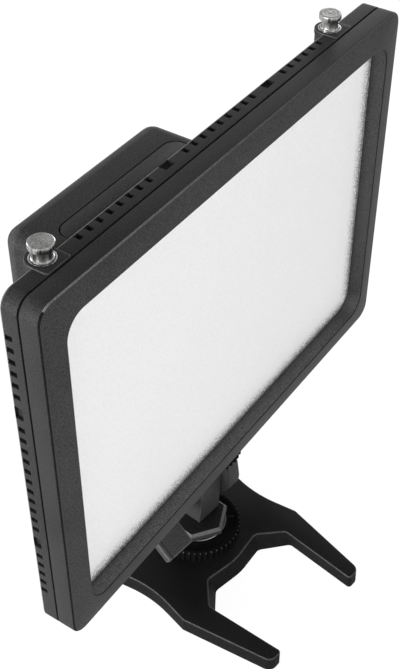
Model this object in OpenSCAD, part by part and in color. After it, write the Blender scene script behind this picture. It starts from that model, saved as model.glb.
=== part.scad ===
// Slim LED video light: an edge-lit panel on a tilting shoe mount and a fork-shaped table stand.
// Millimetres, +Z up, the light faces -Y.
// The origin is on the stand's underside, on the upright axis of the mount.

/* [Light panel] */
// Width of the panel
panel_w = 236; // [200:1:280]
// Height of the panel
panel_h = 167.6; // [140:0.2:200]
// Thickness of the panel
panel_d = 17.4; // [17:0.1:22]
// Radius of the panel's outer corners
panel_corner_r = 6.4; // [5:0.1:9]
// Depth of the front bezel, from the window rim to the parting line
bezel_d = 9.7; // [8:0.1:9.9]
// Distance from the panel's edge to the window
bezel_margin = 10.8; // [10:0.1:14]
// How far the bezel's face slopes back between the window rim and the outer edge
bezel_slope = 1.6; // [0.6:0.1:2.4]
// Depth of the window, from its rim to the diffuser
window_depth = 7.4; // [6:0.1:9.9]
// Radius of the window's corners
window_r = 9.5; // [5:0.5:12]
// Wall of the bezel and of the rear shell's sides
shell_wall = 2.2; // [1.8:0.1:2.4]
// Thickness of the rear shell's back wall
back_wall = 1.8; // [1.6:0.1:2.4]
// Depth of the shadow groove along the parting line
parting_groove = 0.5; // [0.2:0.1:0.8]

/* [Optics] */
// Thickness of the diffuser
diffuser_t = 0.8; // [0.5:0.1:1]
// Thickness of the light guide
guide_t = 2; // [1.6:0.1:2.2]
// Thickness of the reflector sheet
reflector_t = 0.3; // [0.2:0.1:0.4]
// Thickness of the aluminium tray behind the optics
tray_t = 1; // [0.8:0.1:1.2]
// How far the optics reach behind the bezel, past the window's edge
optics_lap = 2.5; // [1.5:0.1:3]
// Length of each LED strip
strip_l = 136; // [100:1:138]
// Number of LEDs on each strip
strip_leds = 24; // [8:1:32]

/* [Vents] */
// Width of a vent slot
vent_w = 2.2; // [1.4:0.1:3]
// Length of a vent slot, across the rear shell's edge
vent_l = 3.1; // [2:0.1:3.6]
// Distance from one slot to the next along the top
vent_pitch = 5.5; // [4.5:0.1:7]
// Distance from one slot to the next along a side
side_vent_pitch = 5.2; // [4.5:0.1:7]
// Width of the square notches in the vent rows
notch_w = 5.6; // [4:0.1:7]

/* [Link pins] */
// Distance of the left pin from the panel's left edge
left_pin_inset = 21.8; // [19:0.1:30]
// Distance of the right pin from the panel's right edge
right_pin_inset = 32.2; // [19:0.1:40]
// Diameter of a pin's shaft
pin_d = 6.2; // [5:0.1:7]
// Diameter of a pin's head
pin_head_d = 9.2; // [9:0.1:12]
// Thickness of a pin's head
pin_head_t = 2; // [1.2:0.1:3]
// Height of a pin's head above the panel
pin_rise = 7; // [6:0.1:10]
// Diameter of a pin's bush
bush_d = 9.8; // [9:0.1:10.6]
// Width of a pin's half-round boss
pin_boss_w = 12.3; // [12:0.1:15]
// Height of a pin's half-round boss
pin_boss_h = 24; // [22:0.5:32]

/* [Rear housing] */
// Width of the rear housing
housing_w = 83.7; // [76:0.1:100]
// Height of the rear housing
housing_h = 106; // [96:1:120]
// How far the housing stands out behind the panel
housing_d = 23; // [19:0.1:28]
// Distance of the housing from the panel's left edge
housing_inset = 26.6; // [22:0.1:30]
// Distance from the panel's top down to the housing's top
housing_drop = 1.6; // [0:0.1:6]
// Radius of the housing's back edges
housing_r = 6; // [3:0.5:7]
// Wall of the housing
housing_wall = 2.2; // [1.8:0.1:3]
// Length of the inset cover in the housing's top
cover_l = 67; // [40:1:70]
// Depth of the inset cover
cover_d = 7.4; // [6:0.1:9]

/* [Controls] */
// Diameter of the dimmer knob
knob_d = 18; // [14:0.5:24]
// Height of the dimmer knob
knob_h = 9; // [6:0.5:12]
// Width of the power rocker
rocker_w = 9; // [7:0.5:12]
// Length of the power rocker
rocker_l = 14; // [11:0.5:18]
// Angle that the rocker leans to either side
rocker_lean = 8; // [4:1:12]

/* [Tilt mount] */
// Distance of the mount's axis behind the window rim
mount_setback = 25; // [24:0.5:32]
// Angle that the mount and stand are turned under the panel
mount_turn = -6.4; // [-12:0.1:12]
// Diameter of the two lock wheels
wheel_d = 42.4; // [36:0.2:48]
// Thickness of the two lock wheels
wheel_t = 6.5; // [5:0.1:9]
// Number of grip teeth on a lock wheel
wheel_teeth = 48; // [24:1:60]
// Across-corners radius of the hexagonal flange
flange_r = 15.5; // [14.8:0.1:18]
// Height of the hexagonal flange
flange_h = 4; // [3:0.1:6]
// Distance from the flange to the hinge axis
hinge_rise = 21.9; // [20:0.1:28]
// Radius of the ear's round end about the hinge
hinge_r = 12.2; // [11:0.1:13]
// Radius of the lug's round end about the hinge
lug_r = 6.6; // [6:0.1:9]
// Width of the lug along the hinge
lug_w = 14.2; // [11:0.1:18]
// Distance from the upright axis to the lug's left face
lug_left = 4; // [3.6:0.1:7]
// Thickness of the ear
ear_t = 7; // [6.4:0.1:10]
// Depth of the lug's foot on the flange
lug_foot_d = 10; // [9:0.5:14]
// Diameter of the hinge bolt
bolt_d = 6; // [5:0.1:7]
// Outer diameter of the flange washer
washer_d = 28.6; // [27:0.1:30]
// Thickness of the flange washer
washer_t = 1; // [0.6:0.1:1.6]
// Thickness of the rubber pad on the upper wheel
pad_t = 1; // [0.6:0.1:2]
// Distance from the upright axis to the wing lever's paddle
lever_reach = 21.3; // [18:0.1:26]
// Length of the wing lever
lever_l = 38; // [28:1:44]
// Width of the wing lever along the hinge axis
lever_w = 16.3; // [10:0.1:20]
// Thickness of the wing lever
lever_t = 4; // [3:0.1:6]
// Angle that the lever's front end points below the horizon
lever_angle = 38; // [0:1:90]

/* [Stand] */
// Thickness of the stand
stand_t = 8; // [7.6:0.1:12]
// Half the width of the stand at its corners
stand_half_w = 43.4; // [36:0.2:50]
// Half the width of the stand at its waist
waist_half_w = 39.4; // [32:0.2:41]
// Distance from the mount's axis forward to the prong tips
prong_reach = 74; // [60:0.2:90]
// Distance from the mount's axis forward to the crotch between the prongs
crotch_reach = 28.2; // [24:0.1:32]
// Distance from the mount's axis back to the stand's rear edge
rear_reach = 36; // [32:0.5:50]
// Half the width over the two prong tips
tip_half_w = 34.4; // [28:0.2:40]
// Width of a prong near its tip
prong_w = 7.4; // [5:0.1:10]
// Length of the shoe channel
shoe_l = 21; // [20:0.5:26]
// Width of the shoe foot
foot_w = 18.4; // [17.6:0.1:18.8]
// Thickness of the shoe foot
foot_t = 2; // [1.6:0.1:2.2]

/* [Fits] */
// Gap between pieces that move past each other
run_gap = 0.3; // [0.2:0.05:0.5]
// Radial clearance of a shaft that turns or slides in its bore
shaft_fit = 0.05; // [0.02:0.01:0.1]
// Clearance of a piece that is set into a pocket
seat_fit = 0.1; // [0.05:0.01:0.2]

/* [Hidden] */
$fn = 48;
cut = 1;
arc_steps = 6;
thread_d = 6.35;

// Heights of the mount, from the stand's underside up
shoe_base_t = 1;
shoe_lip_t = 1.4;
slot_h = foot_t + 2 * seat_fit;
shoe_top = stand_t + slot_h + shoe_lip_t;
lower_wheel_z = shoe_top + run_gap;
lower_washer_z = lower_wheel_z + wheel_t + run_gap;
lower_flange_z = lower_washer_z + washer_t;
hinge_z = lower_flange_z + flange_h + hinge_rise;
arm_top_z = hinge_z + hinge_rise + flange_h;
upper_wheel_z = arm_top_z + washer_t + run_gap;
panel_z = upper_wheel_z + wheel_t + pad_t + run_gap;

// Shoe foot and its stem
foot_l = 18;
stem_d = 10;
stem_tip_d = 5;
neck_d = 12;
stem_top_z = lower_flange_z + flange_h + 5;
groove_z = lower_flange_z + flange_h / 2;
groove_d = 3.6;
groove_h = 2.6;
set_screw_d = 2;
flange_chamfer = 1.3;
lip_gap = neck_d + 0.8;
channel_wall = 2.2;
channel_w = foot_w + 2 * (run_gap + channel_wall);

// Grip grooves of the lock wheels, as shares of the tooth pitch and of a groove's width
tooth_gap_share = 0.72;
tooth_gap_lift = 0.08;

// Hinge, along the mount's own X
lug_right = lug_w - lug_left;
ear_in = lug_right + run_gap;
ear_out = ear_in + ear_t;
bridge_z = hinge_z + hinge_r + 0.5;
bridge_d = 17;
bridge_left = 17.5;
bolt_head_d = 11.5;
bolt_head_t = 4;
lever_start = lug_left + run_gap;
lever_hub_d = 14;
lever_end = lever_reach + lever_w;
lever_hub_skin = 1.5;
lever_nut_d = 9.4;
lever_nut_l = 9;
lever_nut_reach = 5.5;
lever_nut_end = lever_reach + lever_nut_reach;
lever_nut_start = lever_nut_end - lever_nut_l;
bolt_end = lever_nut_end - run_gap;
stud_grip = 8;
stud_reach = 9;
pad_margin = 4;
insert_d = 10;
insert_l = 11;

// Panel, in its own frame: X from its middle, Y back from the window rim, Z from its middle
half_w = panel_w / 2;
half_h = panel_h / 2;
inner_half_w = half_w - shell_wall;
inner_half_h = half_h - shell_wall;
window_w = panel_w - 2 * bezel_margin;
window_h = panel_h - 2 * bezel_margin;
inner_corner_r = panel_corner_r - shell_wall;
cavity_y = panel_d - back_wall;
rim_lap = 0.2;
diffuser_y = window_depth;
guide_y = diffuser_y + diffuser_t;
reflector_y = guide_y + guide_t;
tray_y = reflector_y + reflector_t;
tray_back = tray_y + tray_t;
optics_w = window_w + 2 * optics_lap;
optics_h = window_h + 2 * optics_lap;
led_h = 1;
led_gap = 0.3;
board_t = 1.2;
tray_wall = 1.2;
strip_x = optics_w / 2 + led_gap;
tray_half_w = strip_x + led_h + board_t + tray_wall;
rib_t = 1.5;
rib_spots = [-106, -45, 45, 106];
back_chamfer = 0.7;
vent_back = 0.8;
vent_y = panel_d - vent_back - vent_l / 2;

// Case screws sit in the channel between the optics and the shell's wall
screw_d = 2.5;
screw_head_d = 4.6;
screw_head_t = 1.6;
screw_sink = 0.2;
screw_play = 0.1;
post_d = 5.4;
post_gap = 0.4;
post_inset = shell_wall + post_d / 2 + post_gap;
screw_z = half_h - post_inset;
corner_screw_shift = 4;
corner_screw_x = half_w - post_inset - corner_screw_shift;
top_screw_x = 18;
low_screw_x = 54;
screw_spots = [
    [-corner_screw_x, screw_z],
    [top_screw_x, screw_z],
    [corner_screw_x, screw_z],
    [-corner_screw_x, -screw_z],
    [-low_screw_x, -screw_z],
    [low_screw_x, -screw_z],
    [corner_screw_x, -screw_z]
];
screw_tip_y = 4.5;

// Link pins, on the panel's back edge
pin_y = panel_d;
left_pin_x = left_pin_inset - half_w;
right_pin_x = half_w - right_pin_inset;
pin_boss_rise = 0.4;
pin_boss_top = half_h + pin_boss_rise;
pin_boss_low = half_h - pin_boss_h;
pin_boss_front = 2.5;
boss_floor_z = optics_h / 2 + run_gap;
bush_floor_t = 1;
bush_floor_z = boss_floor_z + bush_floor_t;
bush_lip = 0.5;
bush_wall = 0.7;
pin_cone_flare = 1.6;
pin_cone_d = pin_d + pin_cone_flare;
pin_cone_h = 2.4;
pin_shoulder = 2.6;
pin_stem_d = 4;
pin_guide_l = 6;
pin_chamber_z = bush_floor_z - pin_guide_l;
pin_collar_d = 5.4;
pin_collar_t = 1.6;
pin_tail = 2;

// Rear housing, in the panel's frame
housing_x0 = housing_inset - half_w;
housing_x1 = housing_x0 + housing_w;
housing_z1 = half_h - housing_drop;
housing_z0 = housing_z1 - housing_h;
housing_back = panel_d + housing_d;
cavity_left = left_pin_x + pin_boss_w / 2 + run_gap + housing_wall;
cavity_right = housing_x1 - housing_wall;
cavity_low = housing_z0 + housing_wall;
cavity_drop = 2;
cavity_high = housing_z1 - housing_wall - cavity_drop;
cavity_back = housing_back - housing_wall;
cavity_mid_x = (cavity_left + cavity_right) / 2;
cover_offset = 1.2;
cover_x = (housing_x0 + housing_x1) / 2 + cover_offset;
cover_t = 1.6;
cover_setback = 0.2;
cover_y = panel_d + cover_setback;
cover_r = 5.5;
cover_gap = 0.4;
housing_post_d = 6;
housing_screw_l = 8;
housing_head_t = 1.2;
housing_post_inset = 2.4;
housing_screw_spots = [
    for (x = [cavity_left + housing_post_inset, cavity_right - housing_post_inset])
        for (z = [cavity_low + housing_post_inset, cavity_high - housing_post_inset])
            [x, z]
];

// Socket block that takes the stud, behind the panel's lower edge
block_w = 40;
block_h = 34;
block_reach = 11.5;
block_back = mount_setback + block_reach;
block_r = 5;

// Controls on the housing's back
knob_offset = 18;
rocker_offset = 20;
control_rise = 26;
knob_x = cavity_mid_x + knob_offset;
knob_z = cavity_low + control_rise;
rocker_x = cavity_mid_x - rocker_offset;
rocker_z = knob_z;
pot_d = 16;
pot_t = 7;
pot_neck_d = 7;
pot_floor_t = 1;
pot_floor_y = cavity_back - pot_t + pot_floor_t;
shaft_d = 6;
knob_gap = 0.5;
knob_skin = 2;
knob_flutes = 18;
knob_y = housing_back + knob_gap;
knob_face_y = knob_y + knob_h;
switch_wall = 2;
rocker_swing = 1.2;
axle_play = 1.4;
rocker_axle = rocker_w + 2 * switch_wall - axle_play;
switch_w = rocker_w + 2 * (run_gap + switch_wall);
switch_l = rocker_l + 2 * (rocker_swing + switch_wall);
switch_depth = 11;
switch_flange = 1.2;
switch_rim = 1;
rocker_pivot_d = 2;
rocker_proud = 2.2;
rocker_pivot_depth = 3;
rocker_pivot_y = housing_back - rocker_pivot_depth;

// Electronics inside the housing
driver_w = 62;
driver_h = 30;
driver_t = 1.6;
driver_lift = 3;
driver_rise = 26;
driver_z = cavity_low + driver_rise;
battery_w = 60;
battery_h = 42;
battery_t = 11;
battery_gap = 2;
battery_z = cavity_high - battery_h / 2 - battery_gap;
jack_w = 9;
jack_h = 10.4;
jack_l = 13;
jack_rise = 47;
jack_back = 9;
jack_z = cavity_low + jack_rise;
jack_y = panel_d + jack_back;
jack_hole_d = 5.7;
jack_sleeve_d = 7.1;
jack_pin_d = 2;
wire_hole_d = 8;
wire_hole_z = (driver_z + driver_h / 2 + battery_z - battery_h / 2) / 2;

// Stand, in the mount's frame
stand_insert_d = 10;
stand_insert_l = stand_t - shoe_base_t - 0.8;
shoe_screw_d = 2.4;
shoe_screw_l = 5;
shoe_screw_x = 6;
shoe_screw_y = 6.2;
stop_t = 1.6;
shoe_front = -foot_l / 2 - run_gap - stop_t;

// Outline of the stand: the middle of its crotch, then its right half round to the rear
crotch_half_w = 16.3;
crotch_step = 2;
prong_root_w = 14.1;
prong_root_drop = 8.2;
outer_corner_drop = 0.2;
tip_inner_r = 1.3;
tip_outer_r = 4.2;
rear_flare = 1.1;
waist_y = -5;
rear_corner = [16, 18];
crotch_r = 30;
crotch_corner_r = 4;
prong_corner_r = 3;
waist_r = 60;
rear_side_r = 6;
rear_corner_r = 10;
crotch = [0, -crotch_reach, crotch_r];
stand_half = [
    [crotch_half_w, crotch_step - crotch_reach, crotch_corner_r],
    [stand_half_w - prong_root_w, -crotch_reach - prong_root_drop, prong_corner_r],
    [tip_half_w - prong_w, -prong_reach, tip_inner_r],
    [tip_half_w, -prong_reach, tip_outer_r],
    [stand_half_w, -crotch_reach - outer_corner_drop, prong_corner_r],
    [waist_half_w, waist_y, waist_r],
    [stand_half_w + rear_flare, rear_reach - rear_corner[1], rear_side_r],
    [stand_half_w - rear_corner[0], rear_reach, rear_corner_r]
];

// Points of an outline whose corners [x, y, radius] are rounded with arcs
function unit(v) = v / norm(v);
function corner_arc(a, p, b) =
    let (
        corner = [p[0], p[1]],
        to_a = unit([a[0], a[1]] - corner),
        to_b = unit([b[0], b[1]] - corner),
        half = acos(to_a * to_b) / 2,
        centre = corner + unit(to_a + to_b) * p[2] / sin(half),
        start = corner + to_a * p[2] / tan(half) - centre,
        side = sign(to_a[0] * to_b[1] - to_a[1] * to_b[0]),
        sweep = side * (180 - 2 * half)
    )
    [
        for (i = [0 : arc_steps])
            let (t = -sweep * i / arc_steps)
                centre + [start[0] * cos(t) - start[1] * sin(t), start[0] * sin(t) + start[1] * cos(t)]
    ];
function rounded(corners) =
    let (n = len(corners))
    [
        for (i = [0 : n - 1])
            each (corners[i][2] > 0
                ? corner_arc(corners[(i + n - 1) % n], corners[i], corners[(i + 1) % n])
                : [[corners[i][0], corners[i][1]]])
    ];
function with_mirror_image(points) = concat(
    points,
    [for (i = [len(points) - 1 : -1 : 0]) [-points[i][0], points[i][1], points[i][2]]]
);
function box_outline(x0, x1, z0, z1, r) = rounded([[x0, z0, r], [x1, z0, r], [x1, z1, r], [x0, z1, r]]);

// A rounded rectangle in X and Z, centred, run along Y from y0 to y1
module slab(w, h, r, y0, y1) {
    translate([0, y1, 0])
        rotate([90, 0, 0])
            linear_extrude(y1 - y0)
                polygon(box_outline(-w / 2, w / 2, -h / 2, h / 2, r));
}

// A box given by its two corners
module block(low, high) {
    translate(low)
        cube(high - low);
}

// A cylinder along Y from y0 to y1
module rod_y(d, x, z, y0, y1) {
    translate([x, y1, z])
        rotate([90, 0, 0])
            cylinder(d = d, h = y1 - y0);
}

// A cylinder along X from x0 to x1
module rod_x(d, x0, x1, y, z) {
    translate([x0, y, z])
        rotate([0, 90, 0])
            cylinder(d = d, h = x1 - x0);
}

// A cylinder along Z from z0 to z1
module rod_z(d, z0, z1, x = 0, y = 0) {
    translate([x, y, z0])
        cylinder(d = d, h = z1 - z0);
}

// Places the panel's own frame over the mount
module in_panel() {
    translate([0, -mount_setback, panel_z + half_h])
        children();
}

// Turns the mount's own frame under the panel
module in_mount() {
    rotate([0, 0, mount_turn])
        children();
}

// Front bezel: a hollow frame whose face slopes back from the window rim
module bezel_slopes() {
    slope = atan(bezel_slope / bezel_margin);
    reach = bezel_margin * 2;
    for (side = [-1, 1]) {
        translate([0, 0, side * window_h / 2])
            rotate([-side * slope, 0, 0])
                translate([-panel_w, -reach, side < 0 ? -reach : 0])
                    cube([2 * panel_w, reach, reach]);
        translate([side * window_w / 2, 0, 0])
            rotate([0, 0, side * slope])
                translate([side < 0 ? -reach : 0, -reach, -panel_h])
                    cube([reach, reach, 2 * panel_h]);
    }
}

module front_bezel() {
    face_t = 2;
    rim_t = 2;
    post_y = bezel_slope + face_t - rim_lap;
    color([0.1, 0.1, 0.11])
        in_panel()
            difference() {
                union() {
                    difference() {
                        slab(panel_w, panel_h, panel_corner_r, 0, bezel_d);
                        bezel_slopes();
                        slab(
                            panel_w - 2 * shell_wall, panel_h - 2 * shell_wall, inner_corner_r,
                            bezel_slope + face_t, bezel_d + cut
                        );
                    }
                    slab(window_w + 2 * rim_t, window_h + 2 * rim_t, window_r + rim_t, face_t, diffuser_y);
                    for (spot = screw_spots)
                        rod_y(post_d, spot[0], spot[1], post_y, bezel_d);
                }
                slab(window_w, window_h, window_r, -cut, diffuser_y + cut);
                for (spot = screw_spots)
                    rod_y(screw_d, spot[0], spot[1], screw_tip_y, bezel_d + cut);
            }
}

module diffuser() {
    color([0.93, 0.93, 0.92])
        in_panel()
            slab(optics_w, optics_h, 2, diffuser_y, guide_y);
}

module light_guide() {
    color([0.85, 0.9, 0.92])
        in_panel()
            slab(optics_w, optics_h, 2, guide_y, reflector_y);
}

module reflector_sheet() {
    color([0.97, 0.97, 0.97])
        in_panel()
            slab(optics_w, optics_h, 2, reflector_y, tray_y);
}

// Two LED strips, one along each upright edge of the light guide
module led_strips() {
    led_pitch = strip_l / strip_leds;
    board_y0 = guide_y + seat_fit;
    board_y1 = reflector_y - seat_fit;
    color([0.95, 0.93, 0.8])
        in_panel()
            for (side = [0, 1])
                mirror([side, 0, 0]) {
                    block(
                        [strip_x + led_h, board_y0, -strip_l / 2],
                        [strip_x + led_h + board_t, board_y1, strip_l / 2]
                    );
                    for (i = [0 : strip_leds - 1])
                        translate([strip_x, board_y0 + seat_fit, led_pitch * (i + 0.25) - strip_l / 2])
                            cube([led_h + board_t / 2, board_y1 - board_y0 - 2 * seat_fit, led_pitch / 2]);
                }
}

// Aluminium tray behind the optics, with a flange that carries each LED strip
module back_tray() {
    color([0.75, 0.76, 0.78])
        in_panel() {
            block([-tray_half_w, tray_y, -optics_h / 2], [tray_half_w, tray_back, optics_h / 2]);
            for (side = [0, 1])
                mirror([side, 0, 0])
                    block(
                        [tray_half_w - tray_wall, guide_y, -strip_l / 2],
                        [tray_half_w, tray_back, strip_l / 2]
                    );
        }
}

// Cutter for one vent slot through a wall at height wall_z, at x along it
module vent(x, wall_z, w, l, y) {
    translate([x - w / 2, y - l / 2, wall_z - shell_wall - cut])
        cube([w, l, shell_wall + 2 * cut]);
}

// Slot places along a row: runs of slots with square notches between them
function slot_row(first, pitch, runs) = [
    for (run = runs)
        for (k = [run[0] : run[1]])
            first + pitch * k
];
top_runs = [[0, 7], [11, 19], [23, 28]];
top_notches = [9, 21];
top_vent_start = 37;
top_first = top_vent_start - half_w;
side_runs = [[0, 5], [8, 18], [21, 25]];
side_notches = [6.5, 19.5];
side_vent_start = 151;
side_first = half_h - side_vent_start;

module vent_row(wall, first, pitch, runs, notches) {
    for (x = slot_row(first, pitch, runs))
        vent(x, wall, vent_w, vent_l, vent_y);
    for (k = notches)
        vent(first + pitch * k, wall, notch_w, 2 * (panel_d - vent_y), panel_d);
}

// Half-round boss on the back of the rear shell that holds a link pin
module pin_boss(x) {
    half = pin_boss_w / 2;
    difference() {
        rod_z(pin_boss_w, pin_boss_low, pin_boss_top, x, pin_y);
        block(
            [x - pin_boss_w, pin_y - pin_boss_w, pin_boss_low - cut],
            [x + pin_boss_w, pin_y - pin_boss_front, boss_floor_z]
        );
    }
    block([x - half, bezel_d + parting_groove, half_h - shell_wall], [x + half, pin_y, pin_boss_top]);
}

// Pocket for the bush, guide for the pin's stem and chamber for its collar
module pin_bore(x) {
    rod_z(bush_d, bush_floor_z, pin_boss_top + cut, x, pin_y);
    rod_z(pin_stem_d + 2 * shaft_fit, pin_chamber_z - cut, bush_floor_z + cut, x, pin_y);
    rod_z(pin_collar_d + 2 * run_gap, pin_boss_low - cut, pin_chamber_z, x, pin_y);
}

// Block behind the panel's lower edge that takes the mount's stud
module socket_block() {
    translate([0, 0, -half_h])
        linear_extrude(block_h)
            polygon(rounded([
                [-block_w / 2, cavity_y, 0],
                [block_w / 2, cavity_y, 0],
                [block_w / 2, block_back, block_r],
                [-block_w / 2, block_back, block_r]
            ]));
}

module rear_shell() {
    color([0.12, 0.12, 0.13])
        in_panel()
            difference() {
                union() {
                    difference() {
                        union() {
                            slab(panel_w, panel_h, panel_corner_r, bezel_d + parting_groove, panel_d);
                            slab(
                                panel_w - 2 * parting_groove, panel_h - 2 * parting_groove,
                                panel_corner_r - parting_groove, bezel_d, panel_d
                            );
                        }
                        slab(2 * inner_half_w, 2 * inner_half_h, inner_corner_r, bezel_d - cut, cavity_y);
                        back_chamfers();
                    }
                    for (spot = screw_spots)
                        rod_y(post_d, spot[0], spot[1], bezel_d, panel_d - screw_sink);
                    for (x = rib_spots)
                        block(
                            [x - rib_t / 2, tray_back, -strip_l / 2],
                            [x + rib_t / 2, panel_d - screw_sink, strip_l / 2]
                        );
                    pin_boss(left_pin_x);
                    pin_boss(right_pin_x);
                    socket_block();
                }
                vent_row(half_h, top_first, vent_pitch, top_runs, top_notches);
                mirror([0, 0, 1])
                    vent_row(half_h, top_first, vent_pitch, [top_runs[0], top_runs[2]], top_notches);
                for (turn = [-90, 90])
                    rotate([0, turn, 0])
                        mirror([turn < 0 ? 1 : 0, 0, 0])
                            vent_row(half_w, side_first, side_vent_pitch, side_runs, side_notches);
                for (spot = screw_spots) {
                    rod_y(screw_d, spot[0], spot[1], bezel_d - cut, panel_d + cut);
                    rod_y(
                        screw_head_d + 4 * screw_play, spot[0], spot[1],
                        panel_d - screw_head_t - screw_sink, panel_d + cut
                    );
                }
                for (spot = housing_screw_spots)
                    rod_y(screw_d, spot[0], spot[1], cavity_y - cut, panel_d + cut);
                rod_y(wire_hole_d, cavity_mid_x, wire_hole_z, cavity_y - cut, panel_d + cut);
                pin_bore(left_pin_x);
                pin_bore(right_pin_x);
                rod_z(insert_d + 2 * shaft_fit, -half_h - cut, insert_l - half_h, 0, mount_setback);
            }
}

// Cutters for the chamfers along the rear shell's back edges
module back_chamfers() {
    side = back_chamfer * sqrt(2);
    for (end = [-1, 1]) {
        translate([0, panel_d, end * half_h])
            rotate([45, 0, 0])
                cube([2 * panel_w, side, side], center = true);
        translate([end * half_w, panel_d, 0])
            rotate([0, 0, 45])
                cube([side, side, 2 * panel_h], center = true);
    }
}

module case_screws() {
    head_y = panel_d - screw_sink;
    slot_w = 0.7;
    slot_l = 2.8;
    color([0.2, 0.2, 0.22])
        in_panel()
            for (spot = screw_spots)
                difference() {
                    union() {
                        rod_y(screw_d - screw_play, spot[0], spot[1], screw_tip_y + run_gap, head_y);
                        rod_y(screw_head_d, spot[0], spot[1], head_y - screw_head_t, head_y);
                    }
                    for (turn = [0, 90])
                        translate([spot[0], head_y, spot[1]])
                            rotate([0, turn, 0])
                                cube([slot_w, screw_head_t, slot_l], center = true);
                }
}

// Metal bushes pressed into the pin bosses
module pin_bushes() {
    top = pin_boss_top + bush_lip;
    color([0.75, 0.75, 0.76])
        in_panel()
            for (x = [left_pin_x, right_pin_x])
                difference() {
                    rod_z(bush_d - 2 * shaft_fit, bush_floor_z, top, x, pin_y);
                    rod_z(bush_d - 2 * bush_wall, bush_floor_z - cut, top + cut, x, pin_y);
                }
}

// Link pin: a mushroom head on a necked shaft, with a thinner stem and a collar that keeps it in its boss
module link_pin(x) {
    head_z = half_h + pin_rise - pin_head_t;
    collar_z = pin_chamber_z - run_gap - pin_collar_t;
    color([0.8, 0.8, 0.8])
        in_panel()
            translate([x, pin_y, 0]) {
                rod_z(pin_head_d, head_z, head_z + pin_head_t);
                translate([0, 0, head_z - pin_cone_h])
                    cylinder(d1 = pin_d, d2 = pin_cone_d, h = pin_cone_h);
                rod_z(pin_d, half_h - pin_shoulder, head_z);
                rod_z(pin_stem_d, collar_z - pin_tail, head_z);
                rod_z(pin_collar_d, collar_z, collar_z + pin_collar_t);
            }
}

module left_pin() {
    link_pin(left_pin_x);
}

module right_pin() {
    link_pin(right_pin_x);
}

// Outside of the rear housing, with round back edges
module housing_body() {
    front = panel_d;
    translate([0, 0, housing_z0])
        linear_extrude(housing_h)
            polygon(rounded([
                [housing_x0, front, 0],
                [housing_x1, front, 0],
                [housing_x1, housing_back, housing_r],
                [housing_x0, housing_back, housing_r]
            ]));
}

// The same outline seen from the side, which rounds the top and bottom back edges
module housing_profile() {
    translate([housing_x0 - cut, 0, 0])
        rotate([90, 0, 90])
            linear_extrude(housing_w + 2 * cut)
                polygon(rounded([
                    [panel_d, housing_z0, 0],
                    [housing_back, housing_z0, housing_r],
                    [housing_back, housing_z1, housing_r],
                    [panel_d, housing_z1, 0]
                ]));
}

// Outline of the inset cover, grown all round by a margin
module cover_shape(margin, z0, z1) {
    translate([0, 0, z0])
        linear_extrude(z1 - z0)
            polygon(rounded([
                [cover_x - cover_l / 2 - margin, cover_y - margin, 0],
                [cover_x + cover_l / 2 + margin, cover_y - margin, 0],
                [cover_x + cover_l / 2 + margin, cover_y + cover_d + margin, cover_r],
                [cover_x - cover_l / 2 - margin, cover_y + cover_d + margin, cover_r]
            ]));
}

module rear_housing() {
    color([0.13, 0.13, 0.14])
        in_panel()
            difference() {
                union() {
                    difference() {
                        intersection() {
                            housing_body();
                            housing_profile();
                        }
                        block(
                            [cavity_left, panel_d - cut, cavity_low],
                            [cavity_right, cavity_back, cavity_high]
                        );
                    }
                    for (spot = housing_screw_spots)
                        rod_y(housing_post_d, spot[0], spot[1], panel_d, cavity_back + 0.5);
                }
                for (spot = housing_screw_spots)
                    rod_y(screw_d, spot[0], spot[1], panel_d - cut, panel_d + housing_screw_l);
                boss_relief();
                cover_shape(cover_gap, housing_z1 - cover_t, housing_z1 + cut);
                rod_y(pot_neck_d + 2 * run_gap, knob_x, knob_z, cavity_back - cut, housing_back + cut);
                translate([rocker_x, 0, rocker_z])
                    block(
                        [-switch_w / 2 - seat_fit, cavity_back - cut, -switch_l / 2 - seat_fit],
                        [switch_w / 2 + seat_fit, housing_back + cut, switch_l / 2 + seat_fit]
                    );
                rod_x(jack_sleeve_d + 2 * seat_fit, cavity_right - cut, housing_x1 + cut, jack_y, jack_z);
            }
}

// Room for the left pin's boss beside the housing
module boss_relief() {
    rod_z(pin_boss_w + 2 * run_gap, pin_boss_low - run_gap, half_h + cut, left_pin_x, pin_y);
}

module top_cover() {
    color([0.14, 0.14, 0.15])
        in_panel()
            cover_shape(0, housing_z1 - cover_t, housing_z1);
}

// Screws that hold the housing, driven from inside the rear shell
module housing_screws() {
    color([0.6, 0.6, 0.62])
        in_panel()
            for (spot = housing_screw_spots) {
                rod_y(
                    screw_d - screw_play, spot[0], spot[1],
                    cavity_y - housing_head_t, panel_d + housing_screw_l - run_gap
                );
                rod_y(screw_head_d, spot[0], spot[1], cavity_y - housing_head_t, cavity_y);
            }
}

// Driver board with its coil and capacitors, on four stand-offs
module driver_board() {
    y0 = panel_d + driver_lift;
    face = y0 + driver_t;
    lap = 0.2;
    corner = 3;
    leg_d = 4;
    coil = 10;
    coil_h = 4;
    cap_d = 3.4;
    cap_h = 2.5;
    cap_pitch = 5;
    color([0.1, 0.35, 0.2])
        in_panel()
            translate([cavity_mid_x, 0, driver_z]) {
                block([-driver_w / 2, y0, -driver_h / 2], [driver_w / 2, face, driver_h / 2]);
                for (x = [corner - driver_w / 2, driver_w / 2 - corner])
                    for (z = [corner - driver_h / 2, driver_h / 2 - corner])
                        rod_y(leg_d, x, z, panel_d, y0 + lap);
                block([-coil / 2, face - lap, -coil / 2], [coil / 2, face + coil_h, coil / 2]);
                for (k = [-1 : 1])
                    rod_y(cap_d, cap_pitch * k, coil, face - lap, face + cap_h);
            }
}

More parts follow.
